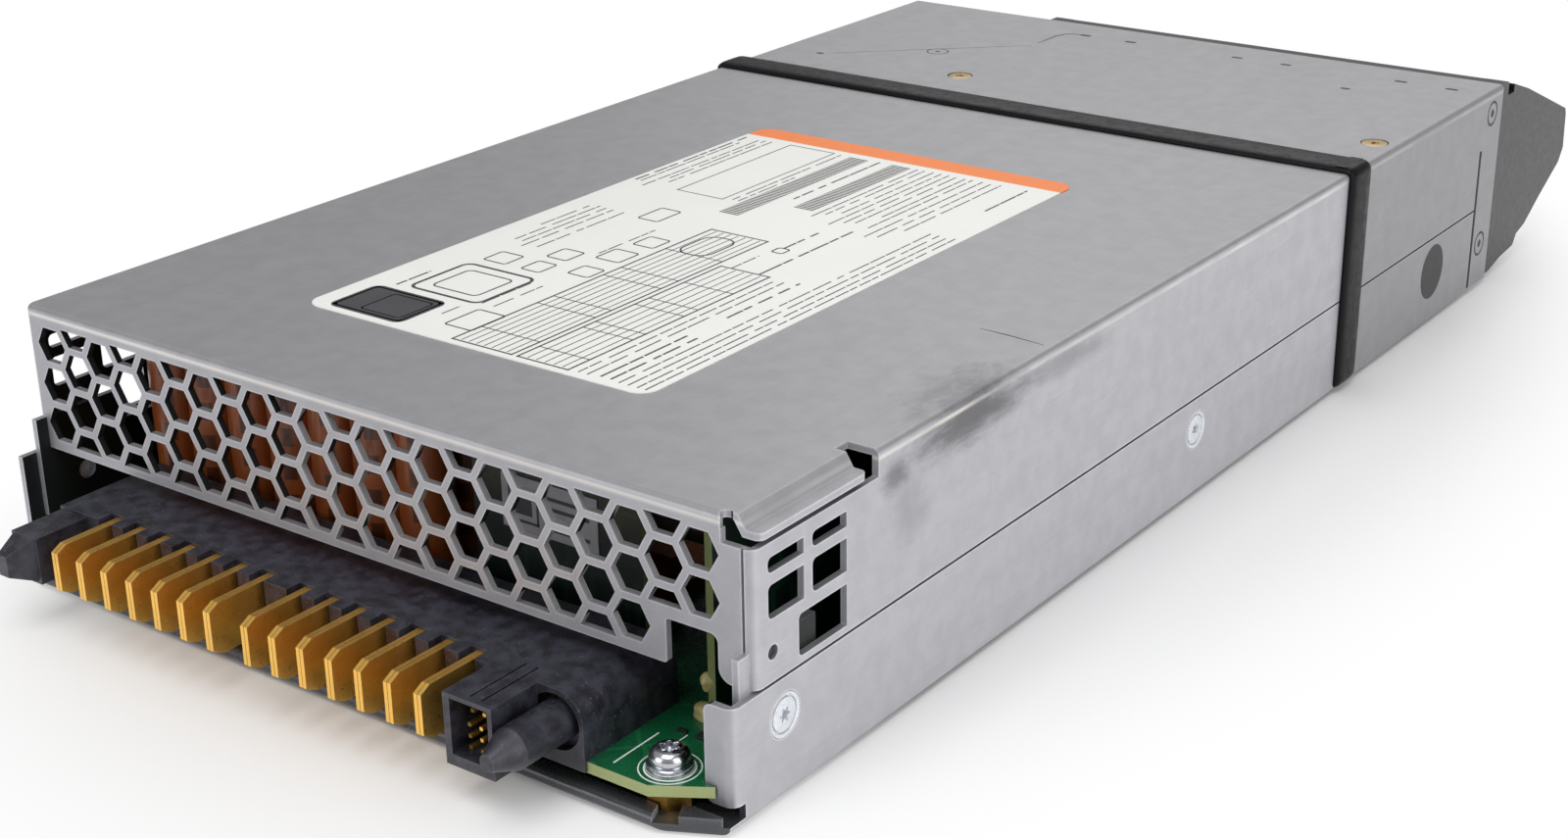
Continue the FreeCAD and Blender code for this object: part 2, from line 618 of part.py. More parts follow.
def make_vents(body):
    """Cut the vents into both side walls: two slots, two windows, one low window and a pilot hole."""
    second = S.vent_front + S.vent_width + S.vent_gap
    last = second + S.vent_width
    loops = []
    for y in (S.vent_front, second):
        loops.append(rectangle(y, S.slot_floor, y + S.vent_width, S.slot_ceiling))
        loops.append(rectangle(y, S.window_floor, y + S.vent_width, S.window_ceiling))
    loops.append(rectangle(S.low_front, S.low_floor, last, S.low_ceiling))
    cut = pocket(body, "YZ", INNER - 1, S.sheet + 2, loops,
                 [((S.pilot_y, S.pilot_z), S.pilot_width / 2)])
    mirror(body, [cut])
    fronts = [S.vent_front.value, second.value, S.low_front.value]
    round_edges(body, S.vent_round, lambda c, t, n: (
        along(t, "x") and near(n, S.sheet) and any(near(c.y, y) for y in fronts)))


def make_ledge(body):
    """Relieve the right upper front corner and fold a stepped ledge into it."""
    wall_top = TOP - S.ledge_step - S.sheet - S.ledge_slot
    start = HALF - S.ledge_start
    pocket(body, "XZ", -1, S.ledge_relief + 1, [rectangle(start, wall_top, HALF + 1, TOP + 1)])
    shelf = TOP - S.ledge_step
    crest = HALF - S.ledge_bend
    foot = crest + S.ledge_slope
    rim = HALF + S.ledge_over
    pad(body, "XZ", S.ledge_front, S.ledge_end - S.ledge_front, [[
        (start - 1, CEILING), (start - 1, TOP), (crest, TOP), (foot, shelf),
        (rim, shelf), (rim, shelf - S.sheet),
        (foot - S.sheet / 2, shelf - S.sheet), (crest - S.sheet / 2, CEILING)]])
    round_edges(body, S.ledge_round, lambda c, t, n: along(t, "z") and near(c.x, rim))
    pocket(body, "XY", CEILING - 1, S.sheet + 2, circles=[
        ((start + S.keyhole / 4, S.keyhole / 2), S.keyhole / 2)])


def make_end_cover():
    """Cover of the handle section: side tabs behind slits, latch window and small top holes."""
    body = new_body("end_cover")
    skirt = S.seam_height + S.seam_gap / 2
    start = S.cover_joint + S.joint_gap / 2
    pad(body, "XZ", start, END - start, [[
        (-HALF, skirt), (-HALF, TOP), (HALF, TOP), (HALF, skirt),
        (INNER, skirt), (INNER, CEILING), (-INNER, CEILING), (-INNER, skirt)]])
    tab_start = END - S.end_tab
    tabs = pad(body, "YZ", INNER, S.sheet, [rectangle(tab_start, S.tab_lift, END, skirt + 1)])
    mirror(body, [tabs])
    slit = pocket(body, "YZ", INNER - 1, S.sheet + 2, [rectangle(
        tab_start - S.end_slit, skirt - 1, tab_start, S.slit_top)])
    mirror(body, [slit])
    rivets = pocket(body, "YZ", INNER - 1, S.sheet + 2, circles=rivet_circles(S.fit))
    mirror(body, [rivets])
    clear = S.window_clear
    pocket(body, "YZ", -HALF - 1, S.sheet + 2, [rectangle(
        TOOTH_START - clear, S.latch_low - clear, TOOTH_END + clear, S.latch_high + clear)])
    heads = [((x, COVER_SCREW_Y), S.cover_screw_head / 2 + S.fit) for x in cover_screw_columns()]
    pocket(body, "XY", CEILING - 1, S.sheet + 2, circles=heads)
    round_edges(body, S.bend, lambda c, t, n: (
        along(t, "y") and near(c.z, TOP) and near(abs(c.x), HALF)))


def rivet_circles(clear):
    """Circles of the two rivets in each end tab, seen from the side."""
    y = END - S.rivet_inset
    return [((y, z), S.rivet_width / 2 + clear) for z in (S.rivet_low, S.rivet_high)]


def cover_screw_columns():
    """X positions of the countersunk screws in the top of the end cover."""
    return [HALF - S.cover_screw_inset, -S.cover_screw_left]


def fan_centres():
    """X positions of the two fans."""
    middle = HALF - S.fan_inset
    return [middle - S.fan_spacing / 2, middle + S.fan_spacing / 2]


def fan_axis():
    """Height of the fan axes."""
    return S.sheet + S.fan_size / 2


def fan_screw_spots():
    """Two opposite corners of each fan, where it is screwed to the end plate."""
    reach = S.fan_size / 2 - S.fan_hole_inset
    return [(x + side * reach, fan_axis() + side * reach) for x in fan_centres() for side in (-1, 1)]


def make_end_plate():
    """Plate across the handle end: fan openings, inlet cut-out, latch slot and riveted flanges."""
    body = new_body("end_plate")
    edge = INNER - S.fit
    start = END - S.sheet
    pad(body, "XZ", start, S.sheet, [rectangle(-edge, S.sheet, edge, CEILING)])
    flanges = pad(body, "YZ", edge - S.sheet, S.sheet, [rectangle(
        END - S.end_tab + S.sheet, S.sheet, END, CEILING)], rivet_circles(S.fit))
    mirror(body, [flanges])
    bores = [((x, fan_axis()), S.fan_bore / 2) for x in fan_centres()]
    screws = [(spot, S.fan_hole / 2) for spot in fan_screw_spots()]
    light = [((-INLET_X, S.light_z), S.light_radius + S.fit)]
    half = S.inlet_width / 2 + S.fit
    rise = S.inlet_height / 2 + S.fit
    inlet = rectangle(-INLET_X - half, S.inlet_z - rise, -INLET_X + half, S.inlet_z + rise)
    clear = S.window_clear
    swing = S.latch_arm + S.tooth_proud * 2.6
    latch = rectangle(-INNER, S.latch_low - clear,
                      -ARM_X + swing, S.latch_high + clear)
    pocket(body, "XZ", start - 1, S.sheet + 2, [inlet] + hook_slots(), bores + screws + light)
    pocket(body, "XZ", END - S.end_tab, S.end_tab + 1, [latch])


def make_sealing_band():
    """Band over the top and sides of the case, across the joint of the two covers."""
    body = new_body("sealing_band")
    out = HALF + S.band_proud
    pad(body, "XZ", S.cover_joint - S.band_width / 2, S.band_width, [[
        (-out, S.band_lift), (-out, TOP + S.band_proud), (out, TOP + S.band_proud),
        (out, S.band_lift), (HALF, S.band_lift), (HALF, TOP), (-HALF, TOP), (-HALF, S.band_lift)]])
    round_edges(body, S.band_round, lambda c, t, n: (
        along(t, "y") and near(abs(c.x), out) and near(c.z, TOP + S.band_proud)))
    round_edges(body, S.band_proud * 0.8, lambda c, t, n: (
        along(t, "y") and near(abs(c.x), out) and near(c.z, S.band_lift)))


def make_case_fasteners():
    """Side screws, cover screws and rivets that hold the case together."""
    head = S.side_screw_head / 2
    shank = S.side_screw_shank / 2
    screw = turned("side_screw_form", [
        (0, 0), (head, 0), (head, S.fit - S.sheet), (shank, S.fit - S.sheet),
        (shank, -S.sheet * 3.2), (0, -S.sheet * 3.2)])
    sides = []
    for side, turn in ((1, 90), (-1, -90)):
        for y in side_screw_rows():
            copy = screw.Shape.copy()
            copy.rotate(FreeCAD.Vector(), FreeCAD.Vector(0, 1, 0), turn)
            copy.translate(FreeCAD.Vector(side * HALF.value, y.value, S.side_screw_rise.value))
            sides.append(copy)
    add_compound("side_screws", sides)

    cap = S.cover_screw_head / 2
    stem = S.cover_screw_shank / 2
    top_screw = turned("cover_screw_form", [
        (0, 0), (cap, 0), (cap, S.fit - S.sheet), (stem, S.fit - S.sheet),
        (stem, -S.sheet * 2.4), (0, -S.sheet * 2.4)])
    group("cover_screws", top_screw, [(x, COVER_SCREW_Y, TOP) for x in cover_screw_columns()])

    bore = S.rivet_width / 2
    rivet = turned("rivet_form", [
        (0, 0), (bore, 0), (bore, -S.sheet * 2 - 0.3), (0, -S.sheet * 2 - 0.3)])
    rivets = []
    for side, turn in ((1, 90), (-1, -90)):
        for z in (S.rivet_low, S.rivet_high):
            copy = rivet.Shape.copy()
            copy.rotate(FreeCAD.Vector(), FreeCAD.Vector(0, 1, 0), turn)
            copy.translate(FreeCAD.Vector(side * HALF.value, (END - S.rivet_inset).value, z.value))
            rivets.append(copy)
    add_compound("plate_rivets", rivets)


def add_compound(label, shapes):
    """Keep separate solids together as one sub-part."""
    obj = DOC.addObject("Part::Feature", label)
    obj.Shape = Part.makeCompound(shapes)
    return part(obj, label)


# ---------------------------------------------------------------- boards

def stud_spots():
    """Places of the studs that carry the main board."""
    return [(side * STUD_X, y) for y in (-S.stud_first, END - S.stud_back) for side in (-1, 1)]


def make_main_board():
    """Main board with cut front corners, its insulating film, studs and screws."""
    body = new_body("main_board")
    edge = INNER - S.board_side_gap + S.sheet
    front = -S.board_front
    pad(body, "XY", S.board_rise, S.board_thickness, [[
        (S.board_cut_x - edge, front), (edge - S.board_cut_x, front), (edge, front + S.board_cut_y),
        (edge, BOARD_END), (-edge, BOARD_END), (-edge, front + S.board_cut_y)]])
    holes = [(spot, S.stud_screw / 2 + S.fit) for spot in stud_spots()]
    notch = rectangle(HALF - S.front_flange - S.loose_fit, -S.wall_reach - S.loose_fit,
                      HALF, S.sheet - S.wall_reach + S.loose_fit)
    pocket(body, "XY", S.board_rise - 1, S.board_thickness + 2, [notch], holes)

    film = new_body("insulating_film")
    rim = edge - S.film_margin
    pad(film, "XY", S.sheet, S.film, [[
        (S.board_cut_x - rim, front + S.hem_depth), (rim - S.board_cut_x, front + S.hem_depth),
        (rim, front + S.hem_depth + S.board_cut_y), (rim, BOARD_END),
        (-rim, BOARD_END), (-rim, front + S.hem_depth + S.board_cut_y)]])
    gap = S.stud_width / math.sqrt(3) + S.loose_fit
    pocket(film, "XY", 0, S.sheet + S.film + 1, [
        rectangle(x - gap, y - gap, x + gap, y + gap) for x, y in stud_spots()])

    stud = new_body("stud_form", kept=False)
    bore = S.stud_screw / 2 + S.fit
    pad(stud, "XY", S.sheet, S.board_rise - S.sheet, [hexagon(0, 0, S.stud_width, 0)], [((0, 0), bore)])
    group("board_studs", stud, [(x, y, 0) for x, y in stud_spots()])

    seat = BOARD_TOP
    crown = seat + S.stud_screw_rise
    screw = turned("board_screw_form", [
        (0, S.sheet * 1.2), (S.stud_screw / 2, S.sheet * 1.2), (S.stud_screw / 2, seat),
        (S.stud_screw_head / 2, seat), (S.stud_screw_head / 2, crown), (0, crown)])
    group("board_screws", screw, [(x, y, 0) for x, y in stud_spots()])


def make_cards():
    """Upright cards behind the honeycomb and the plain tag on one of them."""
    body = new_body("signal_card")
    x = HALF - S.card_inset
    pad(body, "YZ", x, S.card, [[
        (S.card_front, BOARD_TOP), (S.card_front + S.card_length, BOARD_TOP),
        (S.card_front + S.card_length, BOARD_TOP + S.card_height * 0.8),
        (S.card_front + S.card_length * 0.8, BOARD_TOP + S.card_height),
        (S.card_front, BOARD_TOP + S.card_height)]])

    card = new_body("control_card")
    pad(card, "XZ", S.control_y, S.card, [rectangle(
        S.control_left, BOARD_TOP, S.control_left + S.control_width, BOARD_TOP + S.control_height)])
    for share in (0.2, 0.55):
        left = S.control_left + S.control_width * share
        pad(card, "XZ", S.control_y + S.card, S.chip_depth, [rectangle(
            left, S.tag_low, left + S.chip_width, S.tag_low + S.chip_height)])

    tag = new_body("card_tag")
    pad(tag, "XZ", S.control_y - S.tag, S.tag, [rectangle(
        S.tag_left, S.tag_low, S.tag_left + S.tag_width, S.tag_low + S.tag_height)])


# ---------------------------------------------------------------- blade connector

def blade_columns():
    """X positions of the blades: two rows of equal pitch with a wider gap between them."""
    count = count_of(S.blade_count)
    first = -S.blade_first
    second = first + S.blade_pitch * (count - 1) + S.blade_gap
    return [start + S.blade_pitch * step for start in (first, second) for step in range(count)]


def make_connector_shell():
    """Moulded shell: comb, signal shroud, round guide pin and tapered guide post."""
    body = new_body("connector_shell")
    front = -S.shell_front
    roof = BOARD_TOP + S.shell_height
    pad(body, "XY", BOARD_TOP, S.shell_height, [rectangle(
        -S.shell_left, front, S.shell_right, front + S.shell_depth)])
    round_edges(body, S.shell_round, lambda c, t, n: (
        along(t, "y") and near(c.x, S.shell_right) and near(c.z, roof)))
    board_edge = -S.board_front
    pad(body, "XY", BOARD_TOP - S.skirt_drop, S.skirt_drop, [rectangle(
        -S.shell_left, front, S.shell_right, board_edge - S.fit)])
    reach = -S.shroud_reach
    pad(body, "XZ", reach, S.shroud_reach - S.shell_front, [rectangle(
        S.shroud_left, S.shroud_low, S.shroud_right, roof)])
    make_guides(body, front)
    pocket(body, "XZ", reach - 1, S.shroud_cavity + 1, [rectangle(
        S.shroud_left + S.shroud_wall, S.shroud_low + S.shroud_floor,
        S.shroud_right - S.shroud_cheek, roof - S.shroud_roof)])
    groove = S.groove
    pocket(body, "XY", roof - groove, groove + 1, [rectangle(
        x, reach + 1, x + groove, -S.groove_end)
        for x in (S.groove_first, S.groove_first + S.groove_pitch)])
    half = S.comb_width / 2
    count = count_of(S.blade_count)
    for start in (blade_columns()[0], blade_columns()[count]):
        notch = pocket(body, "XY", BOARD_TOP - S.skirt_drop - 1, S.shell_height + S.skirt_drop + 2, [
            rectangle(start - half, front - 1, start + half, front + S.comb_depth)])
        repeat(body, notch, "H_Axis", count, S.blade_pitch)


def make_guides(body, front):
    """Round guide pin with a conical nose on the right, square tapered post on the left."""
    centre = (S.guide_x, S.guide_z)
    pocket(body, "XZ", front - 0.01, S.guide_recess_depth, circles=[(centre, S.guide_recess)])
    shoulder = -S.guide_shoulder
    pad(body, "XZ", shoulder, S.guide_shoulder - S.shell_front + S.guide_recess_depth,
        circles=[(centre, S.guide_radius)])
    tip = sketch_of(body, "XZ", -S.guide_tip, circles=[(centre, S.guide_tip_radius)])
    base = sketch_of(body, "XZ", shoulder, circles=[(centre, S.guide_radius)])
    nose(body, base, tip)
    low, high, right = S.post_low, S.post_high, -S.post_right
    pad(body, "XZ", -S.post_reach, S.post_reach - S.shell_front, [rectangle(
        -S.shell_left, low, right, high)])
    step = S.post_step
    middle_x = (right - step - S.shell_left) / 2
    middle_z = (low + high) / 2
    half_x, half_z = S.post_tip_width / 2, S.post_tip_height / 2
    base = sketch_of(body, "XZ", -S.post_reach, [rectangle(
        0.3 - S.shell_left, low + 0.3, right - step, high - 0.3)])
    tip = sketch_of(body, "XZ", -S.guide_tip, [rectangle(
        middle_x - half_x, middle_z - half_z, middle_x + half_x, middle_z + half_z)])
    nose(body, base, tip)


def nose(body, base, tip):
    """Loft a tapered nose from a base outline to a tip outline."""
    loft = body.newObject("PartDesign::AdditiveLoft", f"{body.Name}_nose")
    loft.Profile = base
    loft.Sections = [tip]
    DOC.recompute()


def make_contacts():
    """Power blades with bevelled noses and a folded slit, and the signal pins in the shroud."""
    blade = new_body("blade_form", kept=False)
    reach, root = -S.blade_reach, S.comb_depth - S.shell_front
    low, high, taper = S.blade_low, S.blade_high, S.blade_taper
    half = S.blade_thickness / 2
    pad(blade, "YZ", -half, S.blade_thickness, [[
        (root, low), (root, high), (reach + S.blade_nose, high), (reach, high - taper),
        (reach, low + taper), (reach + S.blade_nose, low)]])
    pocket(blade, "YZ", S.blade_slit / -2, S.blade_slit, [rectangle(
        reach - 1, low - 1, root - S.comb_depth / 2, high + 1)])
    group("power_blades", blade, [(x, 0, 0) for x in blade_columns()])

    width = S.pin_width
    start = S.shroud_cavity - S.shroud_reach
    pin = new_body("pin_form", kept=False)
    pad(pin, "XZ", start - S.pin_length, S.pin_length, [rectangle(
        -width / 2, -width / 2, width / 2, width / 2)])
    middle = (S.shroud_left + S.shroud_wall + S.shroud_right - S.shroud_cheek) / 2
    columns, rows = count_of(S.pin_columns), count_of(S.pin_rows)
    first = middle - S.pin_pitch_x * (S.pin_columns - 1) / 2
    short = pin.Shape.copy()
    short.translate(FreeCAD.Vector(0, S.pin_short.value, 0))
    limit = Part.makeBox(50, 50, 50, FreeCAD.Vector(-25, start.value - 50, -25))
    forms = [pin.Shape] * (rows - 1) + [short.common(limit)]
    pins = []
    for row, form in enumerate(forms):
        for column in range(columns):
            copy = form.copy()
            x = first + S.pin_pitch_x * column
            z = S.pin_low + S.pin_pitch_z * row
            copy.translate(FreeCAD.Vector(x.value, 0, z.value))
            pins.append(copy)
    add_compound("signal_pins", pins)


# ---------------------------------------------------------------- parts on the main board

def make_capacitors():
    """Two rows of sleeved cans behind the face and two large cans lying in the middle."""
    can = new_body("can_form", kept=False)
    pad(can, "XY", BOARD_TOP, S.can_height, circles=[((0, 0), S.can_width / 2)])
    first = S.can_inset - HALF
    group("output_capacitors", can, [
        (first + S.can_pitch * column, S.can_row + S.can_pitch * row, 0)
        for column in range(count_of(S.can_count)) for row in range(count_of(S.can_rows))])

    bulk = new_body("bulk_form", kept=False)
    half = S.bulk_width / 2
    pad(bulk, "XZ", S.bulk_y, S.bulk_length, circles=[((0, BOARD_TOP + half), half)])
    x = HALF - S.bulk_inset
    group("bulk_capacitors", bulk, [(-x, 0, 0), (x, 0, 0)])


def make_busbars():
    """Two angled copper bars that carry the low voltage towards the blades."""
    bar = new_body("bar_form", kept=False)
    start = S.bar_start
    upright = BOARD_TOP + S.bar_height
    pad(bar, "YZ", 0, S.bar_width, [[
        (start, BOARD_TOP), (start + S.bar_length, BOARD_TOP),
        (start + S.bar_length, BOARD_TOP + S.bar_thickness),
        (start + S.bar_thickness, BOARD_TOP + S.bar_thickness),
        (start + S.bar_thickness, upright), (start, upright)]])
    count = count_of(S.blade_count)
    columns = blade_columns()
    group("output_busbars", bar, [
        (columns[start] - S.blade_thickness, 0, 0) for start in (0, count)])


def make_heatsink(label, left, y, width, fins):
    """Extruded heat sink: an upright plate with a row of fins on the far side."""
    body = new_body(label)
    pad(body, "XY", BOARD_TOP, S.sink_height, [rectangle(left, y, left + width, y + S.sink_base)])
    root = y + S.sink_base
    fin = pad(body, "XY", BOARD_TOP, S.sink_height, [rectangle(
        left, root - 1, left + S.fin, root + S.fin_length)])
    repeat(body, fin, "H_Axis", fins, (width - S.fin) / (fins - 1))


def make_transformers():
    """Two transformers: framed cores with a wound bobbin round each centre leg."""
    core = new_body("core_form", kept=False)
    half = S.core_width / 2
    start = S.core_y - S.core_depth / 2
    roof = BOARD_TOP + S.core_height
    pad(core, "XZ", start, S.core_depth, [rectangle(-half, BOARD_TOP, half, roof)])
    leg = S.core_leg / 2
    low, high = BOARD_TOP + S.core_yoke, roof - S.core_yoke
    windows = [rectangle(leg, low, half - S.core_side, high),
               rectangle(S.core_side - half, low, -leg, high)]
    pocket(core, "XZ", start - 1, S.core_depth + 2, windows)
    spots = [(-S.core_x, 0, 0), (S.core_x, 0, 0)]
    group("transformer_cores", core, spots)

    winding = new_body("winding_form", kept=False)
    clear = S.winding_clear
    reach = half - S.core_side - clear
    spread = S.core_depth / 2 + reach - leg
    pad(winding, "XY", low, high - low - clear, [rectangle(
        -reach, S.core_y - spread, reach, S.core_y + spread)])
    round_edges(winding, S.winding_round, lambda c, t, n: along(t, "z"))
    hole = S.core_depth / 2 + clear
    pocket(winding, "XY", low - 1, high - low + 2, [rectangle(
        -leg - clear, S.core_y - hole, leg + clear, S.core_y + hole)])
    group("transformer_windings", winding, spots)


def make_ring(label, outer, inner, height):
    """Wound ring choke standing on the board, about its own upright axis."""
    body = new_body(label, kept=False)
    pad(body, "XY", BOARD_TOP, height, circles=[((0, 0), outer / 2), ((0, 0), inner / 2)])
    return body


def make_line_parts():
    """Chokes, film capacitors, relay and fuse of the mains side."""
    choke = make_ring("choke_form", S.choke_outer, S.choke_inner, S.choke_height)
    group("boost_choke", choke, [(S.choke_x, S.choke_y, 0)])
    small = make_ring("filter_form", S.filter_outer, S.filter_inner, S.filter_height)
    group("filter_chokes", small, [
        (HALF - S.filter_inset, S.filter_y, 0), (-S.filter_second_x, S.filter_second_y, 0)])

    block = new_body("block_form", kept=False)
    left = S.block_inset - HALF
    pad(block, "XY", BOARD_TOP, S.block_height, [rectangle(
        left, S.block_y, left + S.block_width, S.block_y + S.block_depth)])
    round_edges(block, S.block_round, lambda c, t, n: along(t, "z"))
    group("filter_capacitors", block, [(0, 0, 0), (0, S.block_pitch, 0)])

    relay = new_body("line_relay")
    pad(relay, "XY", BOARD_TOP, S.relay_height, [rectangle(
        -S.relay_left, S.relay_y, S.relay_width - S.relay_left, S.relay_y + S.relay_depth)])
    round_edges(relay, S.block_round, lambda c, t, n: along(t, "z"))

    axis = BOARD_TOP + S.fuse_rise
    clip = S.fuse_radius + S.loose_fit
    far = S.fuse_left + S.fuse_length - S.fuse_clip
    pieces = [cylinder("fuse_tube", "x", S.fuse_radius, S.fuse_length, S.fuse_left, S.fuse_y, axis)]
    for index, left in enumerate((S.fuse_left + 1, far - 1)):
        pieces.append(box(f"fuse_clip_{index}", left, left + S.fuse_clip, S.fuse_y - clip, S.fuse_y + clip,
                          BOARD_TOP, axis))
    joined("line_fuse", pieces)


# ---------------------------------------------------------------- fans

def make_fan_frame(label, centre):
    """Fan frame: square flanges, a round duct between them and a hub on four struts."""
    body = new_body(label)
    near_face = END - S.sheet - S.fan_depth
    half = S.fan_size / 2
    axis = fan_axis()
    spot = (centre, axis)
    pad(body, "XZ", near_face, S.fan_depth, [rectangle(
        centre - half, axis - half, centre + half, axis + half)])
    wide = half + 1
    pocket(body, "XZ", near_face + S.fan_flange, S.fan_depth - S.fan_flange * 2, [rectangle(
        centre - wide, axis - wide, centre + wide, axis + wide)], [(spot, half - S.fan_duct)])
    pocket(body, "XZ", near_face - 1, S.fan_depth + 2, circles=[(spot, S.fan_bore / 2)])
    pad(body, "XZ", near_face, S.fan_base, circles=[(spot, S.fan_hub / 2)])
    strut = S.fan_strut / 2
    reach = half - S.fan_duct / 2
    for across, rise in ((reach, strut), (strut, reach)):
        pad(body, "XZ", near_face, S.fan_base, [rectangle(
            centre - across, axis - rise, centre + across, axis + rise)])
    pocket(body, "XZ", near_face + S.fan_base / 2, S.fan_base, circles=[
        (spot, S.rotor_shaft / 2 + S.fit)])
    corner = half - S.fan_hole_inset
    pocket(body, "XZ", END - S.sheet - S.fan_flange - 1, S.fan_flange + 2, circles=[
        ((centre + side * corner, axis + side * corner), S.fan_hole / 2) for side in (-1, 1)])


def make_fan_rotor(label, centre):
    """Fan rotor: hub on a shaft with slanted blades, turned about its own axis."""
    body = new_body(label)
    near_face = END - S.sheet - S.fan_depth
    start = S.fan_base + S.rotor_gap
    hub = S.rotor_hub / 2
    end = start + S.rotor_length
    shaft = S.rotor_shaft / 2
    turn = body.newObject("PartDesign::Revolution", f"{label}_turn")
    turn.Profile = sketch_of(body, "XY", 0, [[
        (0, S.fan_base / 2 + S.rotor_gap), (shaft, S.fan_base / 2 + S.rotor_gap), (shaft, start),
        (hub, start), (hub, end), (0, end)]])
    turn.ReferenceAxis = (turn.Profile[0], ["V_Axis"])
    turn.Angle = 360
    DOC.recompute()
    sweep = S.rotor_sweep / 2
    low = start + S.rotor_root
    high = low + S.rotor_chord
    blade = pad(body, "XY", hub - 1.5, S.fan_bore / 2 - S.rotor_tip_gap - hub + 0.9, [[
        (-sweep - S.rotor_blade / 2, low), (-sweep + S.rotor_blade / 2, low),
        (sweep + S.rotor_blade / 2, high), (sweep - S.rotor_blade / 2, high)]])
    ring = body.newObject("PartDesign::PolarPattern", f"{label}_ring")
    ring.Originals = [blade]
    ring.Axis = (origin_plane(body, "Y_Axis"), [""])
    ring.Angle = 360
    ring.Occurrences = count_of(S.rotor_blades)
    body.Tip = ring
    DOC.recompute()
    place(body, centre, near_face, fan_axis())


def make_finger_guard(label, centre):
    """Finger guard: flat rings joined by an upright and a level bar."""
    body = new_body(label)
    axis = fan_axis()
    half, reach = S.guard_bar / 2, S.guard_reach
    pad(body, "XZ", END, S.guard, [rectangle(centre - half, axis - reach, centre + half, axis + reach)])
    pad(body, "XZ", END, S.guard, [rectangle(centre - reach, axis - half, centre + reach, axis + half)])
    for step in range(count_of(S.guard_rings)):
        inside = S.guard_step * (step + 1) - S.guard_ring / 2
        pad(body, "XZ", END, S.guard, circles=[
            ((centre, axis), inside), ((centre, axis), inside + S.guard_ring)])


def make_fan_screws():
    """Screws that hold the fans to the end plate."""
    head = S.fan_screw_head / 2
    shank = S.fan_hole / 2 - S.fit
    tail = -S.sheet - S.fan_flange
    screw = turned("fan_screw_form", [
        (0, tail), (shank, tail), (shank, 0), (head, 0), (head, S.fan_screw_rise),
        (0, S.fan_screw_rise)])
    screws = []
    for x, z in fan_screw_spots():
        copy = screw.Shape.copy()
        copy.rotate(FreeCAD.Vector(), FreeCAD.Vector(1, 0, 0), -90)
        copy.translate(FreeCAD.Vector(x.value, END.value, z.value))
        screws.append(copy)
    add_compound("fan_screws", screws)


def make_fans():
    """Both fans with their guards and screws."""
    for side, centre in zip(("left", "right"), fan_centres()):
        make_fan_frame(f"fan_frame_{side}", centre)
        make_fan_rotor(f"fan_rotor_{side}", centre)
        make_finger_guard(f"finger_guard_{side}", centre)
    make_fan_screws()


# ---------------------------------------------------------------- power inlet and light

def prong_spots():
    """Centres of the three prongs across the inlet: two low ones and the raised middle one."""
    low = S.inlet_z - S.prong_raise
    return [(-INLET_X - S.prong_spread, low), (-INLET_X + S.prong_spread, low),
            (-INLET_X, S.inlet_z + S.prong_raise)]


def make_inlet():
    """Mains inlet: flanged body with a bevelled socket and three upright prongs."""
    body = new_body("ac_inlet")
    x, z = -INLET_X, S.inlet_z
    half_w, half_h = S.inlet_width / 2, S.inlet_height / 2
    back = END - S.inlet_depth
    pad(body, "XZ", back, S.inlet_depth, [rectangle(x - half_w, z - half_h, x + half_w, z + half_h)])
    wide, tall = S.inlet_flange_width / 2, S.inlet_flange_height / 2
    pad(body, "XZ", END, S.inlet_flange, [rectangle(x - wide, z - tall, x + wide, z + tall)])
    round_edges(body, S.inlet_flange, lambda c, t, n: (
        along(t, "y") and near(abs(c.x + INLET_X.value), wide)))
    mouth = END + S.inlet_flange - S.socket_depth
    side, rise, cut = S.socket_width / 2, S.socket_height / 2, S.socket_corner
    pocket(body, "XZ", mouth, S.socket_depth + 1, [[
        (x - side, z - rise), (x + side, z - rise), (x + side, z + rise - cut),
        (x + side - cut, z + rise), (x - side + cut, z + rise), (x - side, z + rise - cut)]])
    thin = S.prong_thickness / 2 + S.fit
    tall = S.prong_width / 2 + S.fit
    pocket(body, "XZ", back - 1, S.inlet_depth, [
        rectangle(px - thin, pz - tall, px + thin, pz + tall) for px, pz in prong_spots()])

    prong = new_body("prong_form", kept=False)
    thin, tall = S.prong_thickness / 2, S.prong_width / 2
    start = back - S.prong_tail
    length = mouth - start + S.prong_length
    pad(prong, "XZ", start, length, [rectangle(-thin, -tall, thin, tall)])
    tip = start + length
    round_edges(prong, S.prong_thickness * 0.4, lambda c, t, n: near(c.y, tip), "PartDesign::Chamfer")
    group("inlet_pins", prong, [(px, 0, pz) for px, pz in prong_spots()])

    light = turned("light_form", [
        (0, -S.light_length), (S.light_radius, -S.light_length), (S.light_radius, S.light_proud),
        (0, S.light_proud)])
    lens = light.Shape.copy()
    lens.rotate(FreeCAD.Vector(), FreeCAD.Vector(1, 0, 0), -90)
    lens.translate(FreeCAD.Vector(-INLET_X.value, END.value, S.light_z.value))
    add_compound("status_light", [lens])


# ---------------------------------------------------------------- bezel with handle

CHEEK = [(0.0, 0.995), (0.085, 0.995), (0.385, 0.893), (0.97, 0.653), (0.985, 0.617), (1.0, 0.435),
         (0.95, 0.368), (0.71, 0.245), (0.535, 0.145), (0.435, 0.12), (0.397, 0.068), (0.23, 0.053),
         (0.087, 0.02), (0.0, 0.02)]


def hook_spots():
    """Lower inner corners of the hooks that hold the bezel to the end plate."""
    lefts = (BEZEL_LEFT + S.cheek - S.hook_width, BEZEL_RIGHT - S.cheek)
    return [(x, z) for x in lefts for z in (S.hook_low, S.hook_high)]


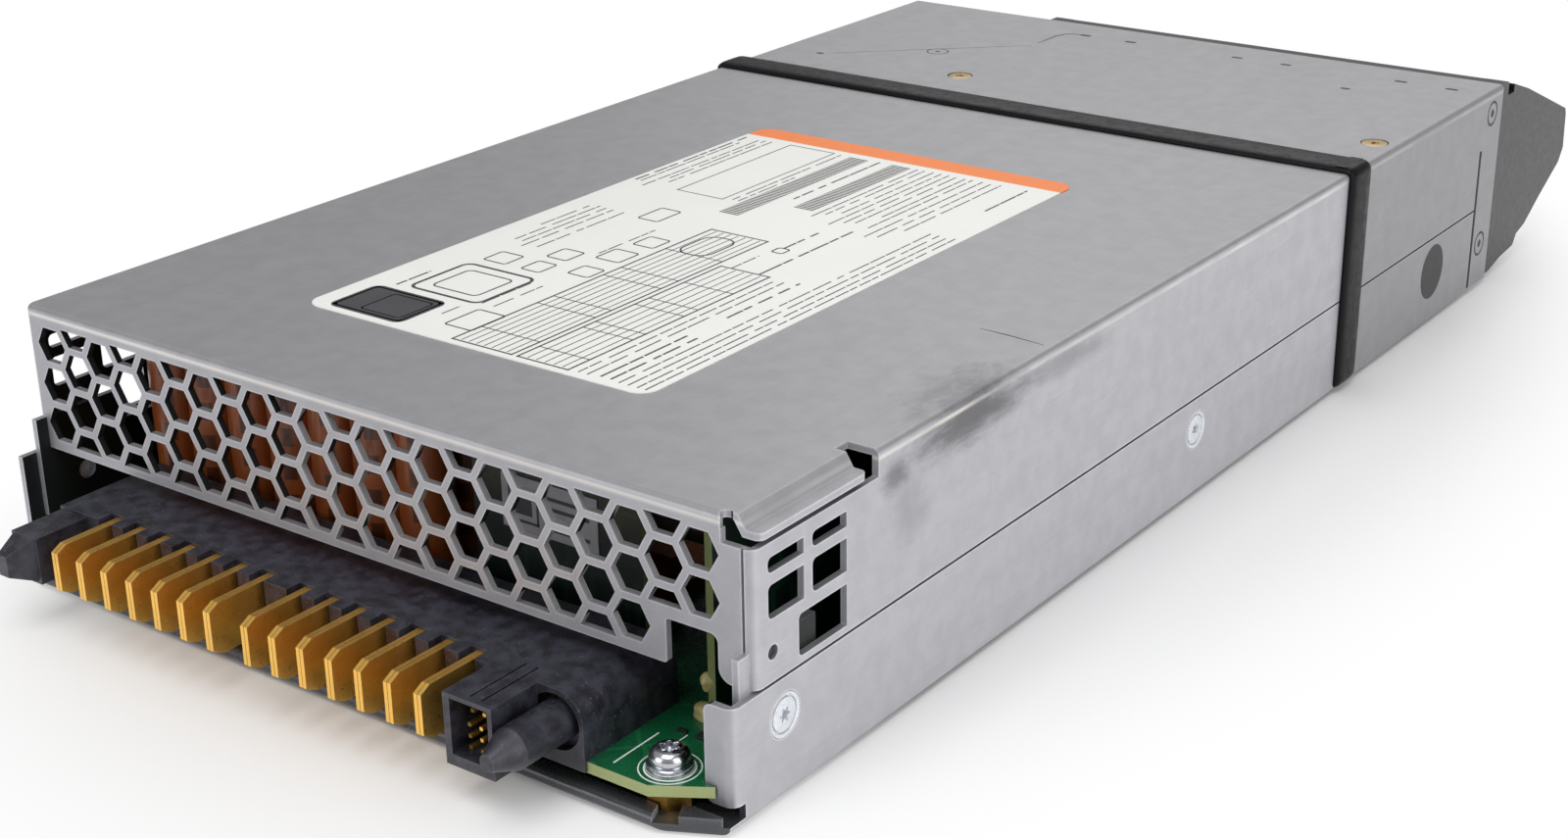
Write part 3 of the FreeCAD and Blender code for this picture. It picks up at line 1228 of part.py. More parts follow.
def hook_slots():
    """Slots in the end plate that the hooks pass through before they drop into place."""
    fit = S.fit
    return [rectangle(x - fit, z - fit, x + S.hook_width + fit, z + S.hook_height + S.hook_drop + fit)
            for x, z in hook_spots()]


def make_bezel():
    """Moulded bezel: thin frame round the fans, two tapering cheeks and the grip bar between them."""
    body = new_body("bezel_handle")
    left, right = BEZEL_LEFT, BEZEL_RIGHT
    far = END + S.handle_reach
    pad(body, "YZ", left + 1, right - left - 2, [rectangle(far - S.grip_depth, S.grip_low, far, S.grip_high)])
    round_edges(body, S.grip_round, lambda c, t, n: along(t, "x"))
    outline = [(END + S.handle_reach * a, TOP * b) for a, b in CHEEK]
    pad(body, "YZ", right - S.cheek, S.cheek, [outline])
    pad(body, "YZ", left, S.cheek, [outline])
    rim = S.bezel_rim
    for low, high in ((S.bezel_low, S.bezel_low + rim), (S.bezel_high - rim, S.bezel_high)):
        pad(body, "XZ", END, S.bezel_depth, [rectangle(left + 1, low, right - 1, high)])
    notch = END + S.notch_start
    pocket(body, "YZ", left - 1, right - left + 2, [rectangle(
        notch, S.bezel_high - S.cheek_notch_depth, notch + S.cheek_notch, TOP)])
    behind = END - S.sheet - S.fit - S.hook_lip
    for x, z in hook_spots():
        far_x, far_z = x + S.hook_width, z + S.hook_height
        pad(body, "XZ", behind, END - behind, [rectangle(x, z, far_x, far_z)])
        pad(body, "XZ", behind, S.hook_lip, [rectangle(x, z - S.hook_drop, far_x, far_z)])


# ---------------------------------------------------------------- release latch

def make_latch_arm():
    """Sprung arm: eye round the pin, long flat arm and the tooth that shows through the case wall."""
    body = new_body("latch_arm")
    height = S.latch_high - S.latch_low
    outer, inner = -ARM_X, S.latch_arm - ARM_X
    peak = -HALF - S.tooth_proud
    pad(body, "XY", S.latch_low, height, [[
        (inner, PIVOT_Y), (inner, ARM_END), (outer, ARM_END), (outer, TOOTH_END),
        (peak, TOOTH_END - S.tooth_flat), (outer, TOOTH_START), (outer, PIVOT_Y)]])
    pivot = (-PIVOT_X, PIVOT_Y)
    pad(body, "XY", S.latch_low, height, circles=[(pivot, S.latch_eye)])
    pocket(body, "XY", S.latch_low - 1, height + 2, circles=[(pivot, S.latch_pin + S.fit)])


def make_latch_grip():
    """Moulded finger grip pushed over the end of the arm."""
    body = new_body("latch_grip")
    low, high = S.latch_low - S.grip_lap, S.latch_high + S.grip_lap
    outer = -ARM_X - S.grip_out
    inner = S.latch_arm - ARM_X + S.grip_in
    start = END + S.grip_start
    end = END + S.latch_reach
    pad(body, "XY", low, high - low, [[
        (outer, start), (outer, end - S.grip_in), (outer + S.grip_in, end), (inner, end),
        (inner, start + S.grip_in), (inner - S.grip_in, start)]])
    fit = S.fit
    pocket(body, "XY", S.latch_low - fit, S.latch_high - S.latch_low + fit * 2, [rectangle(
        -ARM_X - fit, start - 1, S.latch_arm - ARM_X + fit, ARM_END + fit)])


def make_latch_mount():
    """Bracket on the tray floor with two ears, and the pin that crosses them."""
    body = new_body("latch_bracket")
    x = -BRACKET_X
    ear = S.ear
    low = S.latch_low - S.ear_gap - ear
    high = S.latch_high + S.ear_gap
    pad(body, "YZ", x, S.sheet, [rectangle(BRACKET_START, S.sheet, BRACKET_END, high + ear)])
    pad(body, "XY", S.sheet, S.sheet, [rectangle(x, BRACKET_START, x + S.bracket_foot, BRACKET_END)])
    reach = S.ear_reach
    pivot = (-PIVOT_X, PIVOT_Y)
    for level in (low, high):
        pad(body, "XY", level, ear, [rectangle(
            -PIVOT_X - S.latch_eye, PIVOT_Y - reach, x + S.fit, PIVOT_Y + reach)],
            [(pivot, S.latch_pin + S.fit)])
    pin = new_body("latch_pin")
    pad(pin, "XY", low - S.pin_over, high + ear - low + S.pin_over * 2, circles=[(pivot, S.latch_pin)])


def make_latch_spring():
    """Leaf spring: foot on the bracket, slanted run and curled end that rests on the arm."""
    body = new_body("latch_spring")
    leaf = S.spring
    web = -BRACKET_X
    tip = S.latch_arm - ARM_X + S.fit
    foot = BRACKET_START + S.spring_start
    bend = foot + S.spring_foot
    crest = bend + S.spring_run
    end = crest + S.spring_curl
    low = S.latch_low + S.spring_inset
    pad(body, "XY", low, S.latch_high - S.spring_inset - low, [[
        (web, foot), (web - leaf, foot), (web - leaf, bend), (tip, crest), (tip, crest + leaf),
        (tip + leaf * 2, end), (tip + leaf * 3, end), (tip + leaf * 1.2, crest + leaf),
        (web, bend + leaf)]])


def make_label():
    """Thin rating label laid on the top, with rounded corners."""
    body = new_body("rating_label")
    left = -S.label_left
    pad(body, "XY", TOP, S.label, [rectangle(
        left, S.label_start, left + S.label_width, S.label_start + S.label_length)])
    round_edges(body, S.label_round, lambda c, t, n: along(t, "z"))


# ---------------------------------------------------------------- build, test and write

def build():
    """Build every sub-part."""
    make_base_tray()
    make_top_cover()
    make_end_cover()
    make_end_plate()
    make_sealing_band()
    make_case_fasteners()
    make_main_board()
    make_cards()
    make_connector_shell()
    make_contacts()
    make_capacitors()
    make_busbars()
    half_sink = HALF - S.sink_inset
    make_heatsink("rectifier_heatsink", -half_sink, S.sink_y, half_sink * 2, S.sink_fins)
    bridge = HALF - S.bridge_inset - S.bridge_width
    make_heatsink("bridge_heatsink", bridge, S.bridge_y, S.bridge_width, S.bridge_fins)
    make_transformers()
    make_line_parts()
    make_fans()
    make_inlet()
    make_bezel()
    make_latch_arm()
    make_latch_grip()
    make_latch_mount()
    make_latch_spring()
    make_label()


def check():
    """Stop if any object failed to compute or any sub-part is not sound."""
    DOC.recompute()
    for obj in DOC.Objects:
        if "Invalid" in obj.State or "Error" in obj.State:
            raise ValueError(f"{obj.Name}: {obj.State}")
    for obj in PARTS:
        if obj.Shape.isNull() or not obj.Shape.isValid() or not obj.Shape.Solids:
            raise ValueError(f"{obj.Label}: shape is not sound")


def write():
    """Write every sub-part to its own file."""
    os.makedirs("parts", exist_ok=True)
    for obj in PARTS:
        obj.Shape.exportStep(os.path.join("parts", f"{obj.Label}.step"))


build()
check()
write()
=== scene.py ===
"""Hot swap server power supply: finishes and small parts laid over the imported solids.

Everything is in metres in the frame of the part: +Z up, +Y from the connector end to the handle
end, with the origin under the case, at mid width, in the plane of the honeycomb face. Sizes of
small parts are written in millimetres and turned into metres where they are used.
"""
import logging
import math
import random
from dataclasses import dataclass
from enum import Enum

import bmesh
import bpy
from mathutils import Matrix, Vector


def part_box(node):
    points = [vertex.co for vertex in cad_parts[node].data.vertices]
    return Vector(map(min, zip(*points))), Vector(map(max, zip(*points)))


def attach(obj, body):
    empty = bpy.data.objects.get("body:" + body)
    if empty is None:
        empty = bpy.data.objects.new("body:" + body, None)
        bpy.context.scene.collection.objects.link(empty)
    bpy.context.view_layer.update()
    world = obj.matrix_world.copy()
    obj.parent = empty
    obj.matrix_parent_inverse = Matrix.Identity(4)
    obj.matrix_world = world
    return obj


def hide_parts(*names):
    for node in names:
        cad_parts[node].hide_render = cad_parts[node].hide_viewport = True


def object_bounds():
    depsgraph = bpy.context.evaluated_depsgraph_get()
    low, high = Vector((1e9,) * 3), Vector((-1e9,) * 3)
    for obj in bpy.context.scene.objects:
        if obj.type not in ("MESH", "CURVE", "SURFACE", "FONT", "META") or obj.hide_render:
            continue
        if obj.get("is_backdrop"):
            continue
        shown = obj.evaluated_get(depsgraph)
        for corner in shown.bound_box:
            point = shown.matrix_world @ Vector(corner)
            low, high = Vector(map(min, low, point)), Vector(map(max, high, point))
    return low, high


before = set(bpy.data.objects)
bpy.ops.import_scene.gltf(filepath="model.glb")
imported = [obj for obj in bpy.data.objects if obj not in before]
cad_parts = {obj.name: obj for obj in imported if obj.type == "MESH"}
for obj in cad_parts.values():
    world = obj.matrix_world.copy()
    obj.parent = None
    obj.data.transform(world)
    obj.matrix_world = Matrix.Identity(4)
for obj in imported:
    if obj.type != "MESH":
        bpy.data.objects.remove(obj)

LOG = logging.getLogger("power_supply")
MM = 0.001
CASE = "case"
UP = Vector((0, 0, 1))
RIGHT = Vector((1, 0, 0))
SUNK = 0.01          # millimetres that prints and marks reach into the sheet below them
SHARP = math.radians(38)
FULL_TURN = 6.28     # radians, as the largest twist of a screw about its own axis
WELD = 1e-7          # metres between corners that count as one
Colour = tuple[float, float, float]
Point = tuple[float, float, float]
Flat = tuple[float, float]


def tone(red: int, green: int, blue: int) -> Colour:
    """Turn a display colour of 0 to 255 into linear values of 0 to 1.

    Args:
        red: Red, 0 to 255.
        green: Green, 0 to 255.
        blue: Blue, 0 to 255.

    Returns:
        The colour as linear values.
    """
    shares = (value / 255.0 for value in (red, green, blue))
    return tuple(share / 12.92 if share <= 0.04045 else ((share + 0.055) / 1.055) ** 2.4
                 for share in shares)


def mm(*values: float) -> Vector:
    """Turn millimetres into a vector in metres."""
    return Vector(values) * MM


def arc(x: float, y: float, radius: float, start: float, step: float = 15) -> list[Flat]:
    """Give seven points on an arc.

    Args:
        x: Middle of the arc, first axis.
        y: Middle of the arc, second axis.
        radius: Radius of the arc.
        start: Angle of the first point, in degrees.
        step: Angle between points, in degrees.

    Returns:
        The points in order.
    """
    angles = [math.radians(start + step * index) for index in range(7)]
    return [(x + radius * math.cos(angle), y + radius * math.sin(angle)) for angle in angles]


# ------------------------------------------------------------------ shader graphs


class Graph:
    """A node tree with short calls for the nodes that the finishes use."""

    def __init__(self, tree: bpy.types.NodeTree) -> None:
        """Wrap a node tree."""
        self.tree = tree

    def node(self, kind: str, inputs: dict | None = None, **settings: object) -> bpy.types.Node:
        """Add a node, set its properties and fill its inputs.

        Args:
            kind: The node's type name.
            inputs: Values or outputs for its inputs, by name or number.
            settings: Properties of the node.

        Returns:
            The new node.
        """
        made = self.tree.nodes.new(kind)
        for name, value in settings.items():
            setattr(made, name, value)
        for name, value in (inputs or {}).items():
            self.feed(made.inputs[name], value)
        return made

    def feed(self, socket: bpy.types.NodeSocket, value: object) -> None:
        """Link a socket to an output, or set its own value."""
        if isinstance(value, bpy.types.NodeSocket):
            self.tree.links.new(value, socket)
        elif value is not None:
            if socket.type == "RGBA" and len(value) == 3:
                value = (*value, 1.0)
            socket.default_value = value

    def maths(self, operation: str, first: object, second: object = None,
              clamp: bool = False) -> bpy.types.NodeSocket:
        """Add a Math node.

        Args:
            operation: The operation's name.
            first: First value or output.
            second: Second value or output.
            clamp: Keep the result between 0 and 1.

        Returns:
            The node's output.
        """
        return self.node("ShaderNodeMath", {0: first, 1: second}, operation=operation,
                         use_clamp=clamp).outputs[0]

    def times(self, first: object, *others: object) -> bpy.types.NodeSocket:
        """Multiply values."""
        for other in others:
            first = self.maths("MULTIPLY", first, other)
        return first

    def plus(self, first: object, second: object) -> bpy.types.NodeSocket:
        """Add two values."""
        return self.maths("ADD", first, second)

    def minus(self, first: object, second: object) -> bpy.types.NodeSocket:
        """Take the second value from the first."""
        return self.maths("SUBTRACT", first, second)

    def above(self, value: object, limit: object) -> bpy.types.NodeSocket:
        """Give 1 where the value is over the limit."""
        return self.maths("GREATER_THAN", value, limit)

    def below(self, value: object, limit: object) -> bpy.types.NodeSocket:
        """Give 1 where the value is under the limit."""
        return self.maths("LESS_THAN", value, limit)

    def size(self, value: object) -> bpy.types.NodeSocket:
        """Give a value without its sign."""
        return self.maths("ABSOLUTE", value)

    def vector(self, operation: str, first: object, second: object = None) -> bpy.types.NodeSocket:
        """Add a Vector Math node.

        Args:
            operation: The operation's name.
            first: First vector.
            second: Second vector.

        Returns:
            The vector, or the number for a length or a dot product.
        """
        made = self.node("ShaderNodeVectorMath", {0: first, 1: second}, operation=operation)
        return made.outputs["Value" if operation in ("LENGTH", "DOT_PRODUCT") else "Vector"]

    def shrunk(self, vector: object, size: object) -> bpy.types.NodeSocket:
        """Divide a vector by a size."""
        return self.node("ShaderNodeVectorMath", {0: vector, "Scale": self.maths(
            "DIVIDE", 1.0, size)}, operation="SCALE").outputs[0]

    def blend(self, factor: object, first: object, second: object,
              mode: str = "MIX") -> bpy.types.NodeSocket:
        """Mix two colours.

        Args:
            factor: Share of the second colour.
            first: First colour.
            second: Second colour.
            mode: The blend mode.

        Returns:
            The mixed colour.
        """
        return self.node("ShaderNodeMix", {0: factor, 6: first, 7: second}, data_type="RGBA",
                         blend_type=mode).outputs[2]

    def between(self, value: object, low: float, high: float, out_low: float = 0.0,
                out_high: float = 1.0) -> bpy.types.NodeSocket:
        """Map a value smoothly from one span to another and hold it there.

        Args:
            value: The value or output to map.
            low: Start of the span.
            high: End of the span.
            out_low: Result at the start.
            out_high: Result at the end.

        Returns:
            The mapped value.
        """
        return self.node("ShaderNodeMapRange", {0: value, 1: low, 2: high, 3: out_low, 4: out_high},
                         clamp=True, interpolation_type="SMOOTHSTEP").outputs[0]

    def place(self) -> bpy.types.NodeSocket:
        """Give the place on the object, in metres."""
        return self.node("ShaderNodeTexCoord").outputs["Object"]

    def normal(self) -> bpy.types.NodeSocket:
        """Give the direction that the surface faces."""
        return self.node("ShaderNodeNewGeometry").outputs["Normal"]

    def stretched(self, vector: object, scale: Point, turn: Point = (0, 0, 0),
                  shift: Point = (0, 0, 0)) -> bpy.types.NodeSocket:
        """Stretch, turn and shift a vector.

        Args:
            vector: The vector output.
            scale: Scale along each axis.
            turn: Turn about each axis, in radians.
            shift: Shift along each axis.

        Returns:
            The mapped vector.
        """
        return self.node("ShaderNodeMapping", {"Vector": vector, "Scale": scale, "Rotation": turn,
                                               "Location": shift}).outputs[0]

    def noise(self, vector: object, scale: float, detail: float = 3.0, rough: float = 0.55,
              warp: float = 0.0) -> bpy.types.NodeSocket:
        """Add a noise texture and give its value."""
        return self.node("ShaderNodeTexNoise", {"Vector": vector, "Scale": scale, "Detail": detail,
                                                "Roughness": rough, "Distortion": warp}).outputs[0]

    def cells(self, vector: object, scale: float, **settings: str) -> bpy.types.NodeOutputs:
        """Add a cell texture and give its outputs."""
        return self.node("ShaderNodeTexVoronoi", {"Vector": vector, "Scale": scale},
                         **settings).outputs

    def parts(self, vector: object) -> list[bpy.types.NodeSocket]:
        """Split a vector into its three parts."""
        return list(self.node("ShaderNodeSeparateXYZ", {0: vector}).outputs)

    def grey(self, value: object) -> bpy.types.NodeSocket:
        """Make a grey of one value."""
        return self.node("ShaderNodeCombineColor", {0: value, 1: value, 2: value}).outputs[0]


class Effect(Enum):
    """Surface effects that several finishes share, each one a node group."""

    GRAIN = "rolled_grain"
    WEAR = "edge_wear"
    STAIN = "rubbed_stain"
    MOTTLE = "mottling"
    SPECKS = "fine_specks"
    SCRATCHES = "hairline_scratches"


class EffectLibrary:
    """Builds each shared effect once and places it in materials."""

    def __init__(self) -> None:
        """Start with no group built."""
        self.built: dict[Effect, bpy.types.NodeTree] = {}
        self.makers = {
            Effect.GRAIN: self._grain, Effect.WEAR: self._wear_highlight, Effect.STAIN: self._stain,
            Effect.MOTTLE: self._mottle, Effect.SPECKS: self._specks,
            Effect.SCRATCHES: self._scratches}

    def _open(self, effect: Effect, outputs: str, **inputs: float) -> tuple:
        """Make an empty group with named sockets.

        Args:
            effect: The effect to make.
            outputs: Names of the value outputs, with spaces between them.
            inputs: Names and starting values of the number inputs.

        Returns:
            The graph, what enters the group and what leaves it.
        """
        tree = bpy.data.node_groups.new(effect.value, "ShaderNodeTree")
        add = tree.interface.new_socket
        add("Vector", in_out="INPUT", socket_type="NodeSocketVector")
        for name, value in inputs.items():
            add(name, in_out="INPUT", socket_type="NodeSocketFloat").default_value = value
        for name in outputs.split():
            add(name, in_out="OUTPUT", socket_type="NodeSocketFloat")
        graph = Graph(tree)
        self.built[effect] = tree
        return graph, graph.node("NodeGroupInput").outputs, graph.node("NodeGroupOutput").inputs

    def _grain(self) -> None:
        """Fine lines along the rolling direction, in long uneven streaks."""
        graph, enter, leave = self._open(Effect.GRAIN, "Value", Fineness=1.0, Length=30.0)
        fineness = enter["Fineness"]
        scale = graph.node("ShaderNodeCombineXYZ", {
            0: fineness, 1: graph.maths("DIVIDE", fineness, enter["Length"]), 2: fineness})
        drawn = graph.vector("MULTIPLY", enter["Vector"], scale.outputs[0])
        fine, wide = graph.noise(drawn, 1800.0, 4.0, 0.7), graph.noise(drawn, 260.0, 2.0, 0.5)
        graph.feed(leave["Value"], graph.plus(graph.times(fine, 0.6), graph.times(wide, 0.4)))

    def _wear_highlight(self) -> None:
        """Bright line where the surface turns sharply, broken up by noise: edge wear, and a painted
        highlight standing for light caught on the edges.
        """
        graph, enter, leave = self._open(Effect.WEAR, "Mask", Width=0.0005)
        bevel = graph.node("ShaderNodeBevel", {"Radius": enter["Width"]}, samples=4)
        turn = graph.minus(1.0, graph.vector("DOT_PRODUCT", bevel.outputs[0], graph.normal()))
        broken = graph.noise(enter["Vector"], 900.0, 3.0, 0.6)
        graph.feed(leave["Mask"], graph.maths(
            "MULTIPLY", turn, graph.between(broken, 0.25, 0.75, 2.0, 6.0), clamp=True))

    def _stain(self) -> None:
        """Soft dark smear round a point, torn by noise."""
        graph, enter, leave = self._open(Effect.STAIN, "Mask", Reach=0.01, Torn=0.5)
        far = graph.maths("DIVIDE", graph.vector("LENGTH", enter["Vector"]), enter["Reach"])
        cloud = graph.noise(enter["Vector"], 260.0, 5.0, 0.7, 0.4)
        edge = graph.plus(far, graph.times(graph.minus(cloud, 0.5), enter["Torn"]))
        graph.feed(leave["Mask"], graph.between(edge, 1.0, 0.15))

    def _mottle(self) -> None:
        """Uneven patches at two sizes."""
        graph, enter, leave = self._open(Effect.MOTTLE, "Value Fine", Size=0.02)
        scaled = graph.shrunk(enter["Vector"], enter["Size"])
        graph.feed(leave["Value"], graph.noise(scaled, 1.0, 3.0, 0.55, 0.2))
        graph.feed(leave["Fine"], graph.noise(scaled, 14.0, 4.0, 0.65))

    def _specks(self) -> None:
        """Sparse pale specks and fibres, as in filled plastic."""
        graph, enter, leave = self._open(Effect.SPECKS, "Mask", Density=0.2, Size=0.001)
        scaled = graph.shrunk(enter["Vector"], enter["Size"])
        bent = graph.node("ShaderNodeTexNoise", {"Vector": scaled, "Scale": 0.7})
        cell = graph.cells(graph.vector("ADD", scaled, bent.outputs["Color"]), 1.0)
        chance = graph.node("ShaderNodeSeparateColor", {0: cell["Color"]}).outputs[0]
        graph.feed(leave["Mask"], graph.times(graph.between(cell["Distance"], 0.22, 0.05),
                                              graph.below(chance, enter["Density"])))

    def _scratches(self) -> None:
        """Thin crossing hairlines that come and go."""
        graph, enter, leave = self._open(Effect.SCRATCHES, "Mask", Amount=0.5)
        lines = []
        for turn, scale in ((0.35, 42.0), (-0.6, 55.0), (1.2, 34.0)):
            drawn = graph.stretched(enter["Vector"], (scale * 40, scale * 0.9, scale * 12),
                                    (0.2, turn * 0.5, turn))
            cell = graph.cells(drawn, 1.0, feature="DISTANCE_TO_EDGE")
            patch = graph.between(graph.noise(enter["Vector"], scale, 2.0), 0.56, 0.68)
            lines.append(graph.times(graph.between(cell["Distance"], 0.035, 0.0), patch))
        total = graph.maths("MAXIMUM", graph.maths("MAXIMUM", lines[0], lines[1]), lines[2])
        graph.feed(leave["Mask"], graph.times(total, enter["Amount"]))

    def add(self, graph: Graph, effect: Effect, vector: object,
            **values: float) -> bpy.types.NodeOutputs:
        """Place an effect in a material.

        Args:
            graph: The material's graph.
            effect: Which effect.
            vector: The vector that it reads.
            values: Its number inputs.

        Returns:
            The outputs of the group node.
        """
        if effect not in self.built:
            self.makers[effect]()
        made = graph.node("ShaderNodeGroup", node_tree=self.built[effect])
        for name, value in {"Vector": vector, **values}.items():
            graph.feed(made.inputs[name], value)
        return made.outputs


EFFECTS = EffectLibrary()


# ------------------------------------------------------------------ finishes


@dataclass
class Layers:
    """What a finish passes from one step to the next: outputs or plain values."""

    graph: Graph
    vector: bpy.types.NodeSocket
    colour: object
    rough: object
    height: object = None

    def tint(self, share: object, colour: object) -> None:
        """Mix a colour over what is there."""
        self.colour = self.graph.blend(share, self.colour, colour)

    def shade(self, ratio: object, share: object = 1.0) -> None:
        """Multiply what is there by a colour."""
        self.tint(share, self.graph.blend(1.0, self.colour, ratio, "MULTIPLY"))


@dataclass(frozen=True)
class Finish:
    """A surface: base colour and gloss with mottling, grain, specks, edge wear with a painted edge
    highlight, and bump over it.
    """

    name: str
    colour: Colour
    rough: float = 0.5
    metal: float = 0.0
    mottle: float = 0.12
    patch: float = 0.02
    rough_spread: float = 0.12
    grain: float = 0.0
    grain_length: float = 30.0
    grain_fine: float = 1.0
    specks: float = 0.0
    speck_colour: Colour = (0.3, 0.3, 0.32)
    speck_size: float = 0.0012
    # edge wear, which is also a painted highlight on lit edges
    wear_highlight: float = 0.0
    wear_highlight_width: float = 0.0004
    wear_highlight_colour: Colour = (0.7, 0.7, 0.7)
    scratches: float = 0.0
    bump: float = 0.05
    bump_depth: float = 0.0002
    coat: float = 0.0
    coat_rough: float = 0.1
    specular: float = 0.5
    transmission: float = 0.0

    def build(self) -> bpy.types.Material:
        """Make the material.

        Returns:
            The finished material.
        """
        material = bpy.data.materials.new(self.name)
        material.use_nodes = True
        graph = Graph(material.node_tree)
        layers = Layers(graph, graph.place(), self.colour, self.rough)
        self._cover(layers)
        self.detail(layers)
        bump = graph.node("ShaderNodeBump", {
            "Strength": self.bump, "Distance": self.bump_depth, "Height": layers.height})
        shader = material.node_tree.nodes["Principled BSDF"]
        for name, value in (
                ("Base Color", layers.colour), ("Roughness", layers.rough),
                ("Metallic", self.metal), ("Specular IOR Level", self.specular),
                ("Coat Weight", self.coat), ("Coat Roughness", self.coat_rough),
                ("Transmission Weight", self.transmission), ("Normal", bump.outputs[0])):
            graph.feed(shader.inputs[name], value)
        return material

    def _cover(self, layers: Layers) -> None:
        """Lay the shared effects over the base colour."""
        graph, vector = layers.graph, layers.vector
        mottle = EFFECTS.add(graph, Effect.MOTTLE, vector, Size=self.patch)
        low, high = (tuple(max(0.0, part * share) for part in self.colour)
                     for share in (1 - self.mottle, 1 + self.mottle))
        layers.colour = graph.blend(graph.between(mottle["Value"], 0.3, 0.7), low, high)
        half = self.rough_spread / 2
        layers.rough = graph.between(mottle["Fine"], 0.3, 0.7, self.rough - half, self.rough + half)
        layers.height = mottle["Fine"]
        if self.grain:
            grain = EFFECTS.add(graph, Effect.GRAIN, vector, Fineness=self.grain_fine,
                                Length=self.grain_length)["Value"]
            layers.shade(graph.grey(graph.between(grain, 0.35, 0.65, 1 - self.grain,
                                                  1 + self.grain)))
            layers.height = grain
        if self.specks:
            dots = EFFECTS.add(graph, Effect.SPECKS, vector, Density=self.specks,
                               Size=self.speck_size)["Mask"]
            layers.tint(graph.times(dots, 0.7), self.speck_colour)
        if self.scratches:
            hair = EFFECTS.add(graph, Effect.SCRATCHES, vector, Amount=self.scratches)["Mask"]
            layers.tint(hair, tuple(min(1.0, part * 1.5 + 0.05) for part in self.colour))
        # edge wear with a painted highlight on lit edges, such as the cut edges of the honeycomb
        if self.wear_highlight:
            edge = EFFECTS.add(graph, Effect.WEAR, vector, Width=self.wear_highlight_width)["Mask"]
            layers.tint(graph.times(edge, self.wear_highlight), self.wear_highlight_colour)

    def detail(self, layers: Layers) -> None:
        """Add what is special to this finish."""


@dataclass(frozen=True)
class Smear:
    """A dark rub mark on the case: where it lies, how far it reaches and how strong it is."""

    centre: Point
    stretch: Point
    reach: float
    strength: float
    torn: float = 0.9


@dataclass(frozen=True)
class CaseSteel(Finish):
    """Plated sheet steel with rub marks and painted light and shade: greyer on top, sides paled as
    if lit, darker front faces, dark inner faces and undersides, a bright bend and darker low front
    edges.
    """

    # painted light: the sides are paled towards this colour as if lit more than the top
    lit_side_colour: Colour = (0.5, 0.5, 0.52)
    # painted shade for inner walls, honeycomb cell walls and undersides inside the case
    inner_shade_colour: Colour = (0.02, 0.024, 0.024)
    front_shade: Colour = (0.74, 0.74, 0.75)
    inner_x: float = 0.0672
    inner_top: float = 0.036
    face_depth: float = 0.003
    rear_start: float = 0.177
    bend_z: float = 0.0387
    # painted highlight along the bend below the top edge
    bend_highlight_colour: Colour = tone(236, 232, 226)
    rear_colour: Colour = tone(92, 88, 88)
    rear_share: float = 0.42
    # painted shade low at the front, where the hem sits by the floor
    low_shade_colour: Colour = tone(44, 46, 50)
    low_shade_share: float = 0.85
    smear_colour: Colour = tone(72, 70, 72)
    smears: tuple[Smear, ...] = ()

    def detail(self, layers: Layers) -> None:
        """Paint light on the sides, paint shade inside, on the front faces and low at the front,
        paint a highlight on the bend and lay on the rub marks.
        """
        graph, vector = layers.graph, layers.vector
        turned = graph.parts(graph.normal())
        x, y, z = graph.parts(vector)
        # painted light: faces that turn sideways are paled towards the lit side colour
        sideways = graph.between(graph.size(turned[2]), 0.75, 0.25)
        layers.shade(tuple(side / top for side, top in zip(self.lit_side_colour, self.colour)),
                     sideways)
        self._rub(layers)
        # painted shade: faces inside the case that turn inwards or down are darkened
        across = graph.size(turned[0])
        deep = graph.times(graph.above(y, self.face_depth), graph.below(z, self.inner_top))
        inward = graph.maths("MAXIMUM", graph.below(graph.times(turned[0], x), -0.01),
                             graph.times(deep, graph.above(across, 0.5)))
        under = graph.times(graph.below(turned[2], -0.5), graph.above(z, 0.02))
        inside = graph.below(graph.size(x), self.inner_x)
        layers.tint(graph.times(graph.maths("MAXIMUM", inward, under), inside), self.inner_shade_colour)
        # painted shade on faces turned to the front
        layers.shade(self.front_shade, graph.between(turned[1], -0.5, -0.9))
        # painted highlight: a pale torn line along the bend, on the sides
        bend = graph.times(graph.between(z, self.bend_z - 0.0005, self.bend_z),
                           graph.between(z, self.bend_z + 0.0006, self.bend_z + 0.0001))
        torn = graph.noise(graph.stretched(vector, (1, 60, 400)), 1.0)
        layers.tint(graph.times(bend, graph.between(torn, 0.3, 0.7, 0.2, 0.9), sideways),
                    self.bend_highlight_colour)
        layers.tint(graph.times(graph.above(y, self.rear_start), sideways, self.rear_share),
                    self.rear_colour)
        # painted shade: low front faces are darkened, and made smoother
        low = graph.times(graph.between(z, 0.007, 0.001), graph.between(y, 0.004, -0.001),
                          graph.between(across, 0.9, 0.6))
        layers.tint(graph.times(low, self.low_shade_share), self.low_shade_colour)
        layers.rough = graph.minus(layers.rough, graph.times(low, 0.2))

    def _rub(self, layers: Layers) -> None:
        """Lay on the dark rub marks."""
        graph = layers.graph
        for smear in self.smears:
            moved = graph.stretched(layers.vector, smear.stretch, shift=tuple(
                -part * share for part, share in zip(smear.centre, smear.stretch)))
            mask = EFFECTS.add(graph, Effect.STAIN, moved, Reach=smear.reach,
                               Torn=smear.torn)["Mask"]
            dark = graph.times(mask, smear.strength)
            layers.tint(dark, self.smear_colour)
            layers.rough = graph.plus(layers.rough, graph.times(dark, 0.2))


